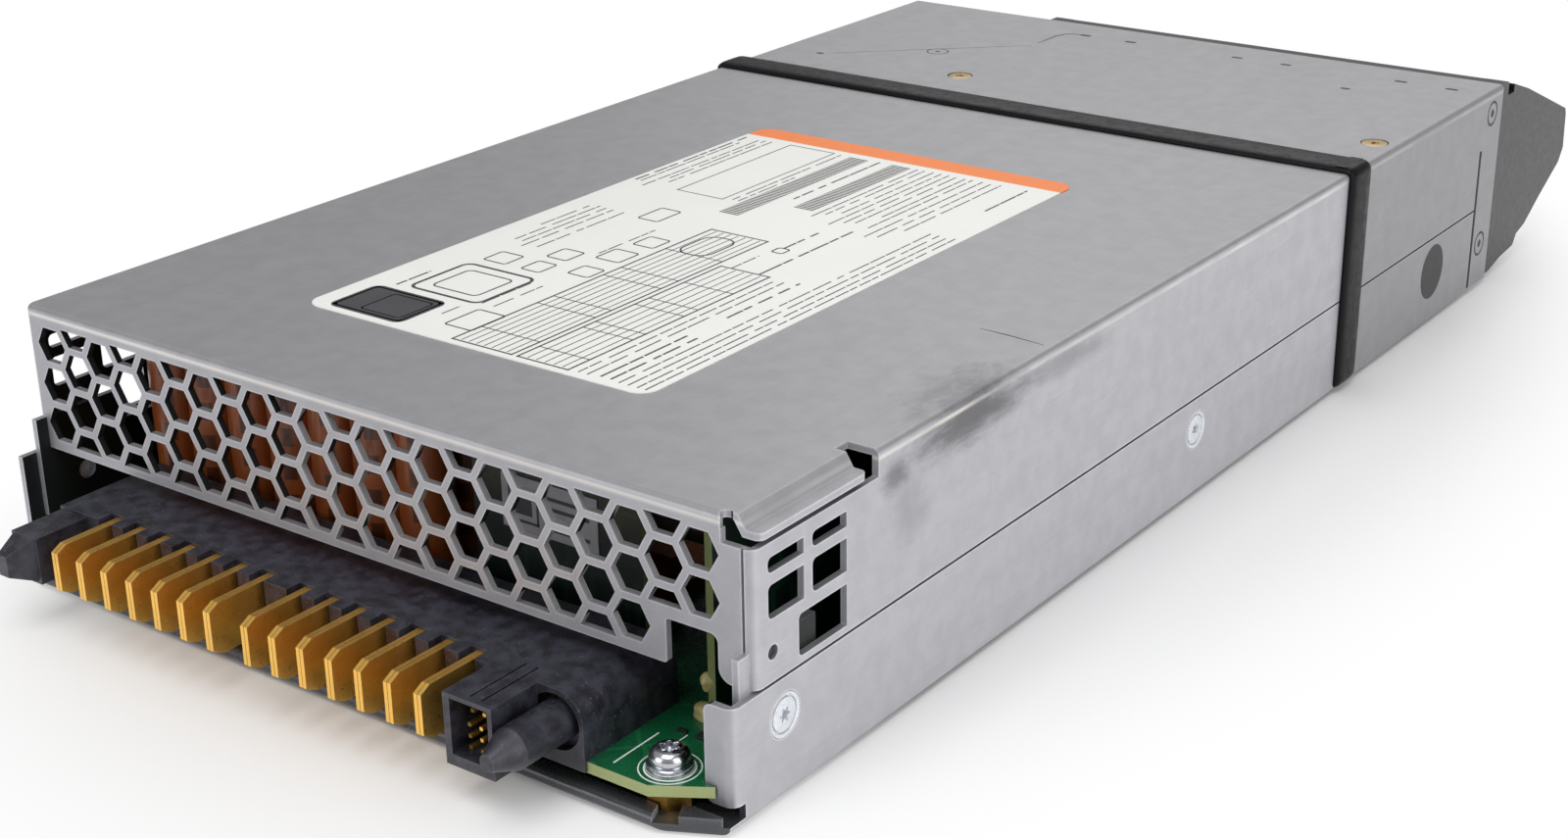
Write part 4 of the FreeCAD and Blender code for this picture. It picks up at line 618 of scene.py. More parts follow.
@dataclass(frozen=True)
class WoundWire(Finish):
    """Turns of wire or tape: close grooves across the winding, darkened with painted shade."""

    pitch: float = 0.0009
    # share of painted shade in the grooves
    groove: float = 0.5

    def detail(self, layers: Layers) -> None:
        """Draw the turns as waves in colour and height; the colour is painted shade that darkens
        the grooves between turns.
        """
        graph = layers.graph
        layers.height = graph.node(
            "ShaderNodeTexWave", {"Vector": layers.vector, "Scale": 0.314159 / self.pitch,
                                  "Distortion": 0.6, "Detail": 1.0},
            bands_direction="Z", wave_profile="SIN").outputs["Fac"]
        # painted shade in the grooves between turns
        layers.tint(graph.between(layers.height, 0.5, 0.0, 0.0, self.groove),
                    tuple(part * 0.25 for part in self.colour))


@dataclass(frozen=True)
class SleeveFilm(Finish):
    """Shrink sleeve on a can: plain film with printed marks down one side."""

    stripe: Colour = (0.4, 0.3, 0.2)

    def detail(self, layers: Layers) -> None:
        """Lay a broken stripe on the side."""
        graph = layers.graph
        across = graph.parts(graph.normal())[0]
        z = graph.parts(layers.vector)[2]
        dashes = graph.above(graph.maths("FRACT", graph.times(z, 190.0)), 0.45)
        layers.tint(graph.times(graph.between(across, 0.18, 0.26),
                                graph.between(across, 0.72, 0.62), dashes, 0.75), self.stripe)


@dataclass(frozen=True)
class BoardLacquer(Finish):
    """Green lacquered board: tracks just under the lacquer, pale fibre at the cut edges."""

    edge_colour: Colour = (0.5, 0.55, 0.25)
    track: Colour = (0.03, 0.3, 0.12)
    facing: int = 2

    def detail(self, layers: Layers) -> None:
        """Draw tracks on the faces and fibre on the edges."""
        graph = layers.graph
        turned = graph.stretched(layers.vector, (1, 1, 1), (0, 0, 0.785))
        cell = graph.cells(turned, 130.0, distance="CHEBYCHEV")
        ring = graph.between(graph.size(graph.minus(cell["Distance"], 0.34)), 0.05, 0.03)
        layers.tint(graph.times(ring, 0.5), self.track)
        edge = graph.between(graph.size(graph.parts(graph.normal())[self.facing]), 0.6, 0.4)
        fibre = graph.noise(graph.stretched(layers.vector, (300, 300, 4000)), 1.0, 2.0)
        layers.tint(edge, graph.blend(fibre, tuple(part * 0.8 for part in self.edge_colour),
                                      self.edge_colour))
        layers.rough = graph.plus(layers.rough, graph.times(edge, 0.35))


@dataclass(frozen=True)
class LabelFilm(Finish):
    """Matt label film with a coloured band across one end."""

    band_start: float = 0.1334
    band_colour: Colour = (1.0, 0.4, 0.1)

    def detail(self, layers: Layers) -> None:
        """Colour the end band."""
        y = layers.graph.parts(layers.vector)[1]
        layers.tint(layers.graph.above(y, self.band_start), self.band_colour)


SMEARS = (
    Smear((0.068, 0.0490, 0.0370), (1.0, 0.62, 2.4), 0.0125, 0.72),
    Smear((0.068, 0.0305, 0.0348), (1.0, 1.3, 1.8), 0.0058, 0.55),
    Smear((0.068, 0.0340, 0.0290), (1.0, 1.1, 1.0), 0.0070, 0.2),
    Smear((0.068, 0.0740, 0.0370), (1.0, 0.5, 3.0), 0.0090, 0.3),
    Smear((0.068, 0.2133, 0.0102), (1.0, 1.0, 1.0), 0.0062, 0.32, 0.08),
)
PALE = tone(225, 225, 230)
SHEET = {"rough": 0.46, "metal": 0.55, "rough_spread": 0.10, "wear_highlight_colour": PALE,
         "lit_side_colour": tone(190, 190, 195)}
ROLLED = {**SHEET, "mottle": 0.045, "patch": 0.004, "grain": 0.022, "grain_length": 40.0,
          "scratches": 0.12, "wear_highlight_width": 0.0005, "bump": 0.12, "bump_depth": 0.00005,
          "smears": SMEARS}
LACQUER = {"patch": 0.004, "rough_spread": 0.08, "bump": 0.06}
SLEEVE = {"rough": 0.34, "mottle": 0.15, "patch": 0.01, "rough_spread": 0.1, "coat": 0.3}
FINISH_LIST = (
    CaseSteel("case_steel", tone(162, 162, 165), wear_highlight=0.55, **ROLLED),
    CaseSteel("side_steel", tone(150, 150, 153), wear_highlight=0.5, **ROLLED),
    CaseSteel("plate_steel", tone(160, 160, 163), mottle=0.05, patch=0.03, grain=0.04,
              scratches=0.1, wear_highlight=0.5, **SHEET),
    Finish("screw_plating", tone(232, 235, 240), 0.3, 0.7, 0.06, 0.002, 0.1, wear_highlight=0.4,
           wear_highlight_colour=tone(240, 240, 245), wear_highlight_width=0.0001, scratches=0.3, bump=0.1),
    Finish("screw_chrome", tone(198, 200, 206), 0.2, 1.0, 0.06, 0.002, 0.1, wear_highlight=0.4,
           wear_highlight_colour=PALE, wear_highlight_width=0.0001, scratches=0.2),
    Finish("gold_zinc", tone(178, 152, 106), 0.34, 1.0, 0.12, 0.002, 0.1, scratches=0.3),
    Finish("brass_turned", tone(190, 148, 72), 0.36, 1.0, 0.08, 0.002, 0.1, grain=0.08,
           grain_fine=2.0),
    Finish("gold_flash", tone(250, 196, 96), 0.3, 0.9, 0.04, 0.01, 0.06, grain=0.04,
           grain_length=12.0, grain_fine=0.3, wear_highlight=0.5, wear_highlight_colour=tone(255, 226, 150),
           wear_highlight_width=0.00025, bump=0.0),
    Finish("connector_moulding", tone(46, 46, 55), 0.36, 0.0, 0.55, 0.0022, 0.24, specks=0.32,
           speck_colour=tone(112, 112, 124), speck_size=0.0008, wear_highlight=0.35,
           wear_highlight_colour=tone(105, 105, 112), wear_highlight_width=0.0003, bump=0.35, bump_depth=0.0001),
    BoardLacquer("board_lacquer", tone(20, 92, 56), 0.28, coat=0.5, coat_rough=0.12,
                 edge_colour=tone(156, 166, 108), track=tone(36, 122, 76), **LACQUER),
    BoardLacquer("card_lacquer_side", tone(10, 32, 25), 0.4, coat=0.2, coat_rough=0.2,
                 edge_colour=tone(126, 138, 84), track=tone(28, 84, 56), facing=0, **LACQUER),
    # control card lacquer darkened near black: painted shade inside the case behind the honeycomb
    BoardLacquer("card_lacquer_front", tone(9, 24, 20), 0.4, coat=0.3, coat_rough=0.2,
                 edge_colour=tone(150, 160, 100), track=tone(18, 46, 34), facing=1, **LACQUER),
    Finish("film_black", tone(24, 24, 26), 0.3, 0.0, 0.15, 0.02, 0.2, bump=0.1),
    Finish("tag_paper", tone(150, 150, 154), 0.7, 0.0, 0.06, 0.004, 0.1),
    SleeveFilm("sleeve_brown", tone(146, 74, 30), stripe=tone(40, 24, 20), **SLEEVE),
    SleeveFilm("sleeve_black", tone(36, 36, 42), stripe=tone(150, 150, 150), **SLEEVE),
    Finish("copper_bare", tone(190, 118, 82), 0.35, 1.0, 0.15, 0.004, 0.15, grain=0.1),
    Finish("sink_aluminium", tone(168, 170, 175), 0.4, 1.0, 0.06, 0.01, 0.1, grain=0.1,
           grain_length=0.05),
    Finish("ferrite", tone(58, 58, 62), 0.65, 0.1, 0.15, 0.004, 0.2, specks=0.3,
           speck_size=0.0006, bump=0.3),
    WoundWire("winding_tape", tone(205, 170, 60), 0.45, 0.0, 0.1, 0.01, 0.1, coat=0.2,
              pitch=0.004, groove=0.35, bump=0.3),
    WoundWire("enamelled_wire", tone(172, 92, 48), 0.3, 0.3, 0.12, 0.006, 0.1, coat=0.5,
              pitch=0.0011, groove=0.7, bump=0.7, bump_depth=0.0004),
    Finish("box_yellow", tone(205, 172, 70), 0.5, 0.0, 0.06, 0.01, 0.1, bump=0.15),
    Finish("relay_black", tone(30, 30, 32), 0.35, 0.0, 0.1, 0.01, 0.1, bump=0.15, wear_highlight=0.3,
           wear_highlight_colour=tone(80, 80, 84)),
    Finish("fuse_ceramic", tone(222, 218, 206), 0.5, 0.0, 0.05, 0.006, 0.1),
    Finish("inlet_moulding", tone(34, 34, 37), 0.45, 0.0, 0.12, 0.006, 0.15, specks=0.1,
           bump=0.3, wear_highlight=0.3, wear_highlight_colour=tone(84, 84, 88)),
    Finish("pin_nickel", tone(205, 204, 198), 0.22, 1.0, 0.05, 0.003, 0.1, scratches=0.3),
    Finish("fan_moulding", tone(30, 30, 33), 0.42, 0.0, 0.12, 0.01, 0.15, bump=0.2, wear_highlight=0.3,
           wear_highlight_colour=tone(74, 74, 78)),
    Finish("guard_plating", tone(186, 188, 192), 0.25, 1.0, 0.05, 0.006, 0.1, wear_highlight=0.3),
    Finish("bezel_moulding", tone(25, 25, 29), 0.32, 0.0, 0.08, 0.02, 0.08, bump=0.04,
           bump_depth=0.00004, wear_highlight=0.25, wear_highlight_colour=tone(96, 94, 98), scratches=0.2,
           specular=0.4),
    Finish("spring_steel", tone(190, 190, 194), 0.3, 1.0, 0.06, 0.01, 0.1, grain=0.1, wear_highlight=0.4),
    Finish("grip_moulding", tone(150, 34, 44), 0.35, 0.0, 0.08, 0.01, 0.1, bump=0.2, wear_highlight=0.3,
           wear_highlight_colour=tone(190, 80, 86)),
    Finish("light_lens", tone(150, 225, 165), 0.25, 0.0, 0.05, 0.002, 0.05, transmission=0.4),
    LabelFilm("label_film", tone(238, 238, 234), 0.42, 0.0, 0.015, 0.03, 0.06, bump=0.04,
              band_colour=tone(244, 128, 40)),
    Finish("label_ink", tone(60, 60, 64), 0.5, 0.0, 0.10, 0.01, 0.05),
    Finish("label_grey", tone(128, 128, 130), 0.5, 0.0, 0.08, 0.01, 0.05),
    Finish("shadow_grey", tone(70, 68, 70), 0.6, 0.2, 0.1, 0.004, 0.1),
    # darker grey: painted shade in rings round the pressed dimple and clinch seams, and the disc on
    # the embossed oval on the side
    Finish("rubbed_steel", tone(154, 154, 158), 0.5, 0.5, 0.12, 0.003, 0.1, grain=0.1),
    # pale scratches, and painted highlights on the clinch seams
    Finish("bright_scratch", tone(205, 205, 210), 0.35, 0.6, 0.1, 0.004, 0.1),
    Finish("label_pale", tone(196, 196, 196), 0.5, 0.0, 0.05, 0.01, 0.05),
    Finish("band_rubber", tone(13, 13, 16), 0.4, 0.0, 0.12, 0.02, 0.14, bump=0.12,
           specular=0.16, wear_highlight=0.1, wear_highlight_colour=tone(48, 47, 52)),
    Finish("silk_white", tone(235, 238, 235), 0.5, 0.0, 0.05, 0.002, 0.1),
    Finish("solder", tone(215, 216, 214), 0.25, 1.0, 0.1, 0.002, 0.2, bump=0.4),
    Finish("glue_cream", tone(206, 190, 150), 0.4, 0.0, 0.1, 0.004, 0.1, bump=0.3, coat=0.3),
    Finish("glue_amber", tone(198, 186, 128), 0.35, 0.0, 0.15, 0.003, 0.1, bump=0.4, coat=0.4),
    # black for chips, and also painted shade in holes and pressed grooves
    Finish("chip_black", tone(28, 28, 31), 0.45, 0.0, 0.1, 0.003, 0.1, bump=0.2),
)
NODES_BY_FINISH = {
    "side_steel": "base_tray", "case_steel": "top_cover end_cover",
    "plate_steel": "end_plate latch_bracket plate_rivets", "band_rubber": "sealing_band",
    "screw_plating": "side_screws", "gold_zinc": "cover_screws",
    "screw_chrome": "board_screws fan_screws latch_pin", "brass_turned": "board_studs",
    "board_lacquer": "main_board", "film_black": "insulating_film",
    "connector_moulding": "connector_shell", "gold_flash": "power_blades signal_pins",
    "card_lacquer_side": "signal_card", "card_lacquer_front": "control_card",
    "tag_paper": "card_tag", "sleeve_brown": "output_capacitors",
    "sleeve_black": "bulk_capacitors", "copper_bare": "output_busbars",
    "sink_aluminium": "rectifier_heatsink bridge_heatsink", "ferrite": "transformer_cores",
    "winding_tape": "transformer_windings", "enamelled_wire": "boost_choke filter_chokes",
    "box_yellow": "filter_capacitors", "relay_black": "line_relay", "fuse_ceramic": "line_fuse",
    "inlet_moulding": "ac_inlet", "pin_nickel": "inlet_pins",
    "fan_moulding": "fan_frame_left fan_frame_right fan_rotor_left fan_rotor_right",
    "guard_plating": "finger_guard_left finger_guard_right", "bezel_moulding": "bezel_handle",
    "spring_steel": "latch_arm latch_spring", "grip_moulding": "latch_grip",
    "light_lens": "status_light", "label_film": "rating_label",
}


class Finishes:
    """All finishes of the power supply, built on first use."""

    def __init__(self) -> None:
        """Collect the finishes by name."""
        self.table: dict[str, Finish] = {finish.name: finish for finish in FINISH_LIST}
        self.made: dict[str, bpy.types.Material] = {}

    def get(self, name: str) -> bpy.types.Material:
        """Give a finish's material, building it the first time."""
        if name not in self.made:
            self.made[name] = self.table[name].build()
        return self.made[name]


FINISHES = Finishes()


# ------------------------------------------------------------------ pieces


def dress(obj: bpy.types.Object, *names: str) -> None:
    """Give an object its material slots from finish names."""
    obj.data.materials.clear()
    for name in names:
        obj.data.materials.append(FINISHES.get(name))


def dress_solids() -> None:
    """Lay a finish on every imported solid."""
    chosen = {node: name for name, nodes in NODES_BY_FINISH.items() for node in nodes.split()}
    for node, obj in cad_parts.items():
        dress(obj, chosen[node])


def settle(piece: bpy.types.Object, node: str = "") -> None:
    """Let a piece ride on the case.

    Args:
        piece: The piece.
        node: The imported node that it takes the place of, if any.
    """
    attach(piece, CASE)
    if node:
        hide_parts(node)
    LOG.info("%s: %d faces", piece.name, len(piece.data.polygons))


def linked(name: str, data: bpy.types.Mesh) -> bpy.types.Object:
    """Make an object of a mesh and show it."""
    obj = bpy.data.objects.new(name, data)
    bpy.context.scene.collection.objects.link(obj)
    return obj


class Sketcher:
    """Gathers simple solids into one mesh piece."""

    def __init__(self, name: str) -> None:
        """Start an empty piece."""
        self.name = name
        self.mesh = bmesh.new()

    def _mark(self, faces: list[bmesh.types.BMFace], slot: int, smooth: bool) -> None:
        """Set the material slot and shading of new faces."""
        for face in faces:
            face.material_index = slot
            face.smooth = smooth

    def lathe(self, profile: list[Flat], centre: Vector, axis: Vector = UP, segments: int = 32,
              slot: int = 0, smooth: bool = True) -> None:
        """Turn a profile about an axis.

        Args:
            profile: Radius and height pairs in millimetres, from the base up.
            centre: Where the axis starts, in metres.
            axis: Direction of the axis.
            segments: Steps round the axis.
            slot: Material slot.
            smooth: Shade smooth.
        """
        basis = axis.to_track_quat("Z", "Y").to_matrix()
        rings = []
        for radius, height in profile:
            angles = [2 * math.pi * step / segments for step in range(segments if radius else 1)]
            rings.append([self.mesh.verts.new(centre + basis @ mm(
                radius * math.cos(angle), radius * math.sin(angle), height)) for angle in angles])
        faces = []
        for low, high in zip(rings, rings[1:]):
            for step in range(segments):
                after = (step + 1) % segments
                corners = dict.fromkeys((low[step % len(low)], low[after % len(low)],
                                         high[after % len(high)], high[step % len(high)]))
                if len(corners) > 2:
                    faces.append(self.mesh.faces.new(tuple(corners)))
        self._mark(faces, slot, smooth)

    def disc(self, centre: Vector, axis: Vector, inner: float, outer: float, lift: float,
             segments: int, slot: int, smooth: bool = True) -> None:
        """Lay a thin disc, or a ring when it has an inner radius.

        Args:
            centre: Middle of its foot, in metres.
            axis: The way it faces.
            inner: Inner radius in millimetres, or 0.
            outer: Outer radius in millimetres.
            lift: Thickness in millimetres.
            segments: Steps round the axis.
            slot: Material slot.
            smooth: Shade smooth.
        """
        profile = [(inner, 0), (inner, lift), (outer, lift), (outer, 0), (inner, 0)]
        if not inner:
            profile = [(0, 0), (outer, 0), (outer, lift), (0, lift)]
        self.lathe(profile, centre, axis, segments, slot, smooth)

    def slab(self, low: Vector, high: Vector, slot: int = 0, soft: float = 0.0) -> None:
        """Add a block, with softened edges when asked.

        Args:
            low: Lowest corner.
            high: Highest corner.
            slot: Material slot.
            soft: Width of the softened edges.
        """
        matrix = Matrix.Translation((low + high) / 2) @ Matrix.Diagonal((*(high - low), 1.0))
        verts = bmesh.ops.create_cube(self.mesh, size=1.0, matrix=matrix)["verts"]
        self._mark(list({face for vert in verts for face in vert.link_faces}), slot, False)
        if soft:
            edges = list({edge for vert in verts for edge in vert.link_edges})
            cut = bmesh.ops.bevel(self.mesh, geom=edges, offset=soft, segments=2, profile=0.5,
                                  affect="EDGES")
            self._mark(cut["faces"], slot, True)

    def prism(self, outline: list[Flat], low: float, high: float, slot: int = 0) -> None:
        """Add a closed upright prism on an outline, all in millimetres.

        Args:
            outline: Corners in the plane, in order round the shape.
            low: Height of the lower face.
            high: Height of the upper face.
            slot: Material slot.
        """
        foot, head = ([self.mesh.verts.new(mm(x, y, z)) for x, y in outline] for z in (low, high))
        faces = [self.mesh.faces.new(foot[::-1]), self.mesh.faces.new(head)]
        for step in range(len(outline)):
            after = (step + 1) % len(outline)
            faces.append(self.mesh.faces.new((foot[step], foot[after], head[after], head[step])))
        self._mark(faces, slot, False)

    def finish(self, *finishes: str) -> bpy.types.Object:
        """Make the object.

        Args:
            finishes: Finish names, one per slot.

        Returns:
            The object, at the origin.
        """
        bmesh.ops.remove_doubles(self.mesh, verts=self.mesh.verts[:], dist=WELD)
        bmesh.ops.recalc_face_normals(self.mesh, faces=self.mesh.faces[:])
        data = bpy.data.meshes.new(self.name)
        self.mesh.to_mesh(data)
        self.mesh.free()
        obj = linked(self.name, data)
        dress(obj, *finishes)
        return obj


# ------------------------------------------------------------------ screw heads


@dataclass(frozen=True)
class HeadForm:
    """A screw head: its outline from the recess outwards and the star sunk in its middle."""

    name: str
    profile: tuple[Flat, ...]
    recess: float
    depth: float
    lobes: int
    wave: float
    finish: str
    segments: int = 72

    def _star(self, angle: float) -> float:
        """Radius of the recess at an angle, in millimetres."""
        swing = 0.5 - 0.5 * math.cos(self.lobes * angle)
        return self.recess * (1 - self.wave * swing ** 1.4)

    def build(self) -> bpy.types.Object:
        """Make one head with its seat at the origin and its axis up.

        Returns:
            The template object.
        """
        piece = Sketcher(self.name)
        mesh = piece.mesh
        top, count = self.profile[0][1], self.segments
        angles = [2 * math.pi * step / count for step in range(count)]
        wells = ((0.55, top - self.depth), (0.94, top - self.depth * 0.92), (1.0, top - 0.05),
                 (1.05, top))
        spans = [([self._star(angle) * share for angle in angles], height)
                 for share, height in wells]
        spans += [([radius] * count, height) for radius, height in self.profile]
        rings = [[mesh.verts.new(mm(radius * math.cos(angle), radius * math.sin(angle), height))
                  for radius, angle in zip(radii, angles)] for radii, height in spans]
        middle = mesh.verts.new(mm(0, 0, top - self.depth * 1.1))
        foot = mesh.verts.new(mm(0, 0, self.profile[-1][1]))
        for step in range(count):
            after = (step + 1) % count
            mesh.faces.new((middle, rings[0][step], rings[0][after]))
            mesh.faces.new((foot, rings[-1][after], rings[-1][step]))
            for low, high in zip(rings, rings[1:]):
                mesh.faces.new((low[step], high[step], high[after], low[after]))
        for face in mesh.faces:
            face.smooth = True
        obj = piece.finish(self.finish)
        obj.data.set_sharp_from_angle(angle=SHARP)
        return obj


class Facing(Enum):
    """Which way a row of fasteners faces, as a turn about X, Y and Z in degrees."""

    UP = (0, 0, 0)
    RIGHT = (0, 90, 0)
    LEFT = (0, -90, 0)
    BACK = (-90, 0, 0)


class Scatter:
    """Geometry Nodes tree that sets copies of a template on points."""

    SEED = 7

    def __init__(self, finish: str) -> None:
        """Build the tree for one finish."""
        self.tree = bpy.data.node_groups.new(f"scatter_{finish}", "GeometryNodeTree")
        add = self.tree.interface.new_socket
        add("Geometry", in_out="OUTPUT", socket_type="NodeSocketGeometry")
        self.keys = [add(name, in_out="INPUT", socket_type=f"NodeSocket{kind}").identifier
                     for name, kind in (("Geometry", "Geometry"), ("Form", "Object"),
                                        ("Turn", "Vector"), ("Twist", "Float"), ("Seed", "Int"))]
        graph = Graph(self.tree)
        enter = graph.node("NodeGroupInput").outputs
        info = graph.node("GeometryNodeObjectInfo", {"As Instance": True, "Object": enter["Form"]})
        spin = graph.node("FunctionNodeRandomValue", {"Seed": enter["Seed"]}, data_type="FLOAT")
        limits, drawn = ([socket for socket in side if socket.type == "VALUE" and socket.enabled]
                         for side in (spin.inputs, spin.outputs))
        graph.feed(limits[1], enter["Twist"])
        about = graph.node("ShaderNodeCombineXYZ", {2: drawn[0]}).outputs[0]
        own, aim = (graph.node("FunctionNodeEulerToRotation", {0: turn}).outputs[0]
                    for turn in (about, enter["Turn"]))
        both = graph.node("FunctionNodeRotateRotation", {0: aim, 1: own}, rotation_space="LOCAL")
        copies = graph.node("GeometryNodeInstanceOnPoints", {
            "Points": enter["Geometry"], "Instance": info.outputs["Geometry"],
            "Rotation": both.outputs[0]})
        solid = graph.node("GeometryNodeRealizeInstances", {0: copies.outputs[0]})
        paint = graph.node("GeometryNodeSetMaterial", {"Geometry": solid.outputs[0],
                                                       "Material": FINISHES.get(finish)})
        graph.node("NodeGroupOutput", {0: paint.outputs[0]})

    def lay(self, name: str, form: bpy.types.Object, spots: list[Vector], facing: Facing,
            twist: float = FULL_TURN) -> bpy.types.Object:
        """Set copies on spots and make them one plain mesh.

        Args:
            name: Name of the new piece.
            form: The template, with its axis up.
            spots: Where the copies go.
            facing: Which way they face.
            twist: Largest turn about their own axis.

        Returns:
            The new piece, at the origin.
        """
        data = bpy.data.meshes.new(name)
        data.from_pydata([tuple(spot) for spot in spots], [], [])
        points = linked(name, data)
        modifier = points.modifiers.new("scatter", "NODES")
        modifier.node_group = self.tree
        turn = tuple(math.radians(angle) for angle in facing.value)
        for key, value in zip(self.keys[1:], (form, turn, twist, self.SEED)):
            modifier[key] = value
        evaluated = points.evaluated_get(bpy.context.evaluated_depsgraph_get())
        solid = bpy.data.meshes.new_from_object(evaluated)
        points.modifiers.clear()
        points.data = solid
        solid.name = name
        return points


def merge(name: str, parts: list[bpy.types.Object]) -> bpy.types.Object:
    """Join several pieces into one mesh and drop them.

    Args:
        name: Name of the result.
        parts: Pieces with the same material slots.

    Returns:
        The joined piece.
    """
    gathered = bmesh.new()
    for obj in parts:
        gathered.from_mesh(obj.data)
    data = bpy.data.meshes.new(name)
    gathered.to_mesh(data)
    gathered.free()
    for material in parts[0].data.materials:
        data.materials.append(material)
    for obj in parts:
        bpy.data.objects.remove(obj)
    return linked(name, data)


def centres(node: str, count: int) -> list[Vector]:
    """Middles of the separate solids in a node, read from its mesh.

    Args:
        node: Name of the node.
        count: How many solids it holds.

    Returns:
        The middle of each solid's box.
    """
    copy = bmesh.new()
    copy.from_mesh(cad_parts[node].data)
    bmesh.ops.remove_doubles(copy, verts=copy.verts[:], dist=1e-6)
    seen: set[bmesh.types.BMVert] = set()
    middles = []
    for start in copy.verts:
        if start in seen:
            continue
        stack, island = [start], []
        seen.add(start)
        while stack:
            vert = stack.pop()
            island.append(vert.co.copy())
            near = {edge.other_vert(vert) for edge in vert.link_edges} - seen
            seen |= near
            stack += near
        low, high = (Vector(pick(co[axis] for co in island) for axis in range(3))
                     for pick in (min, max))
        middles.append((low + high) / 2)
    copy.free()
    if len(middles) != count:
        raise ValueError(f"{node}: {len(middles)} solids instead of {count}")
    return middles


@dataclass
class Fasteners:
    """Side screws, top screws, board screws and fan screws with their recesses."""

    side_x: float = 68.0
    side_head: HeadForm = HeadForm("side_screw_head", (
        (0.95, -0.02), (2.05, -0.02), (2.32, -0.10), (2.38, -0.45), (2.52, -0.45), (2.60, -0.12),
        (2.85, -0.02), (3.08, 0.0), (3.1, -0.9)), 0.98, 0.9, 6, 0.42, "screw_plating")
    cover_head: HeadForm = HeadForm("cover_screw_head", (
        (1.2, -0.02), (2.0, -0.02), (2.3, -0.08), (2.45, -0.35), (2.45, -0.9)),
        0.95, 0.7, 4, 0.55, "gold_zinc")
    board_head: HeadForm = HeadForm("board_screw_head", (
        (1.55, 2.92), (1.95, 2.78), (2.3, 2.52), (2.56, 2.12), (2.68, 1.7), (2.66, 1.35),
        (2.5, 1.18), (2.5, 1.02), (2.9, 0.98), (3.02, 0.86), (3.02, 0.5), (2.95, 0.42),
        (3.06, 0.36), (3.08, 0.02), (3.0, 0.0)), 1.45, 0.9, 6, 0.34, "screw_chrome")
    fan_head: HeadForm = HeadForm("fan_screw_head", (
        (1.3, 1.15), (1.8, 1.02), (2.15, 0.7), (2.28, 0.3), (2.28, 0.0)),
        1.05, 0.6, 4, 0.55, "screw_chrome")

    def build(self) -> None:
        """Build every row and lay it in place of its plain solids."""
        scatters = {name: Scatter(name) for name in ("screw_plating", "screw_chrome", "gold_zinc")}
        form = self.side_head.build()
        rows = []
        for facing, sign in ((Facing.RIGHT, 1), (Facing.LEFT, -1)):
            spots = [Vector((sign * self.side_x * MM, spot.y, spot.z))
                     for spot in centres("side_screws", 4) if spot.x * sign > 0]
            rows.append(scatters["screw_plating"].lay(f"row_{facing.name}", form, spots, facing))
        settle(merge("side_screw_heads", rows), "side_screws")
        bpy.data.objects.remove(form)
        for head, node, count, facing, slot, twist in (
                (self.cover_head, "cover_screws", 2, Facing.UP, "gold_zinc", FULL_TURN),
                (self.board_head, "board_screws", 4, Facing.UP, "screw_steel", 0.5),
                (self.fan_head, "fan_screws", 4, Facing.BACK, "screw_steel", FULL_TURN)):
            form = head.build()
            axis = 2 if facing is Facing.UP else 1
            spots = centres(node, count)
            for spot in spots:
                spot[axis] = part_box(node)[1][axis] - head.profile[0][1] * MM
            settle(scatters[head.finish].lay(f"{node}_heads", form, spots, facing, twist),
                   node)
            bpy.data.objects.remove(form)


# ------------------------------------------------------------------ rating label


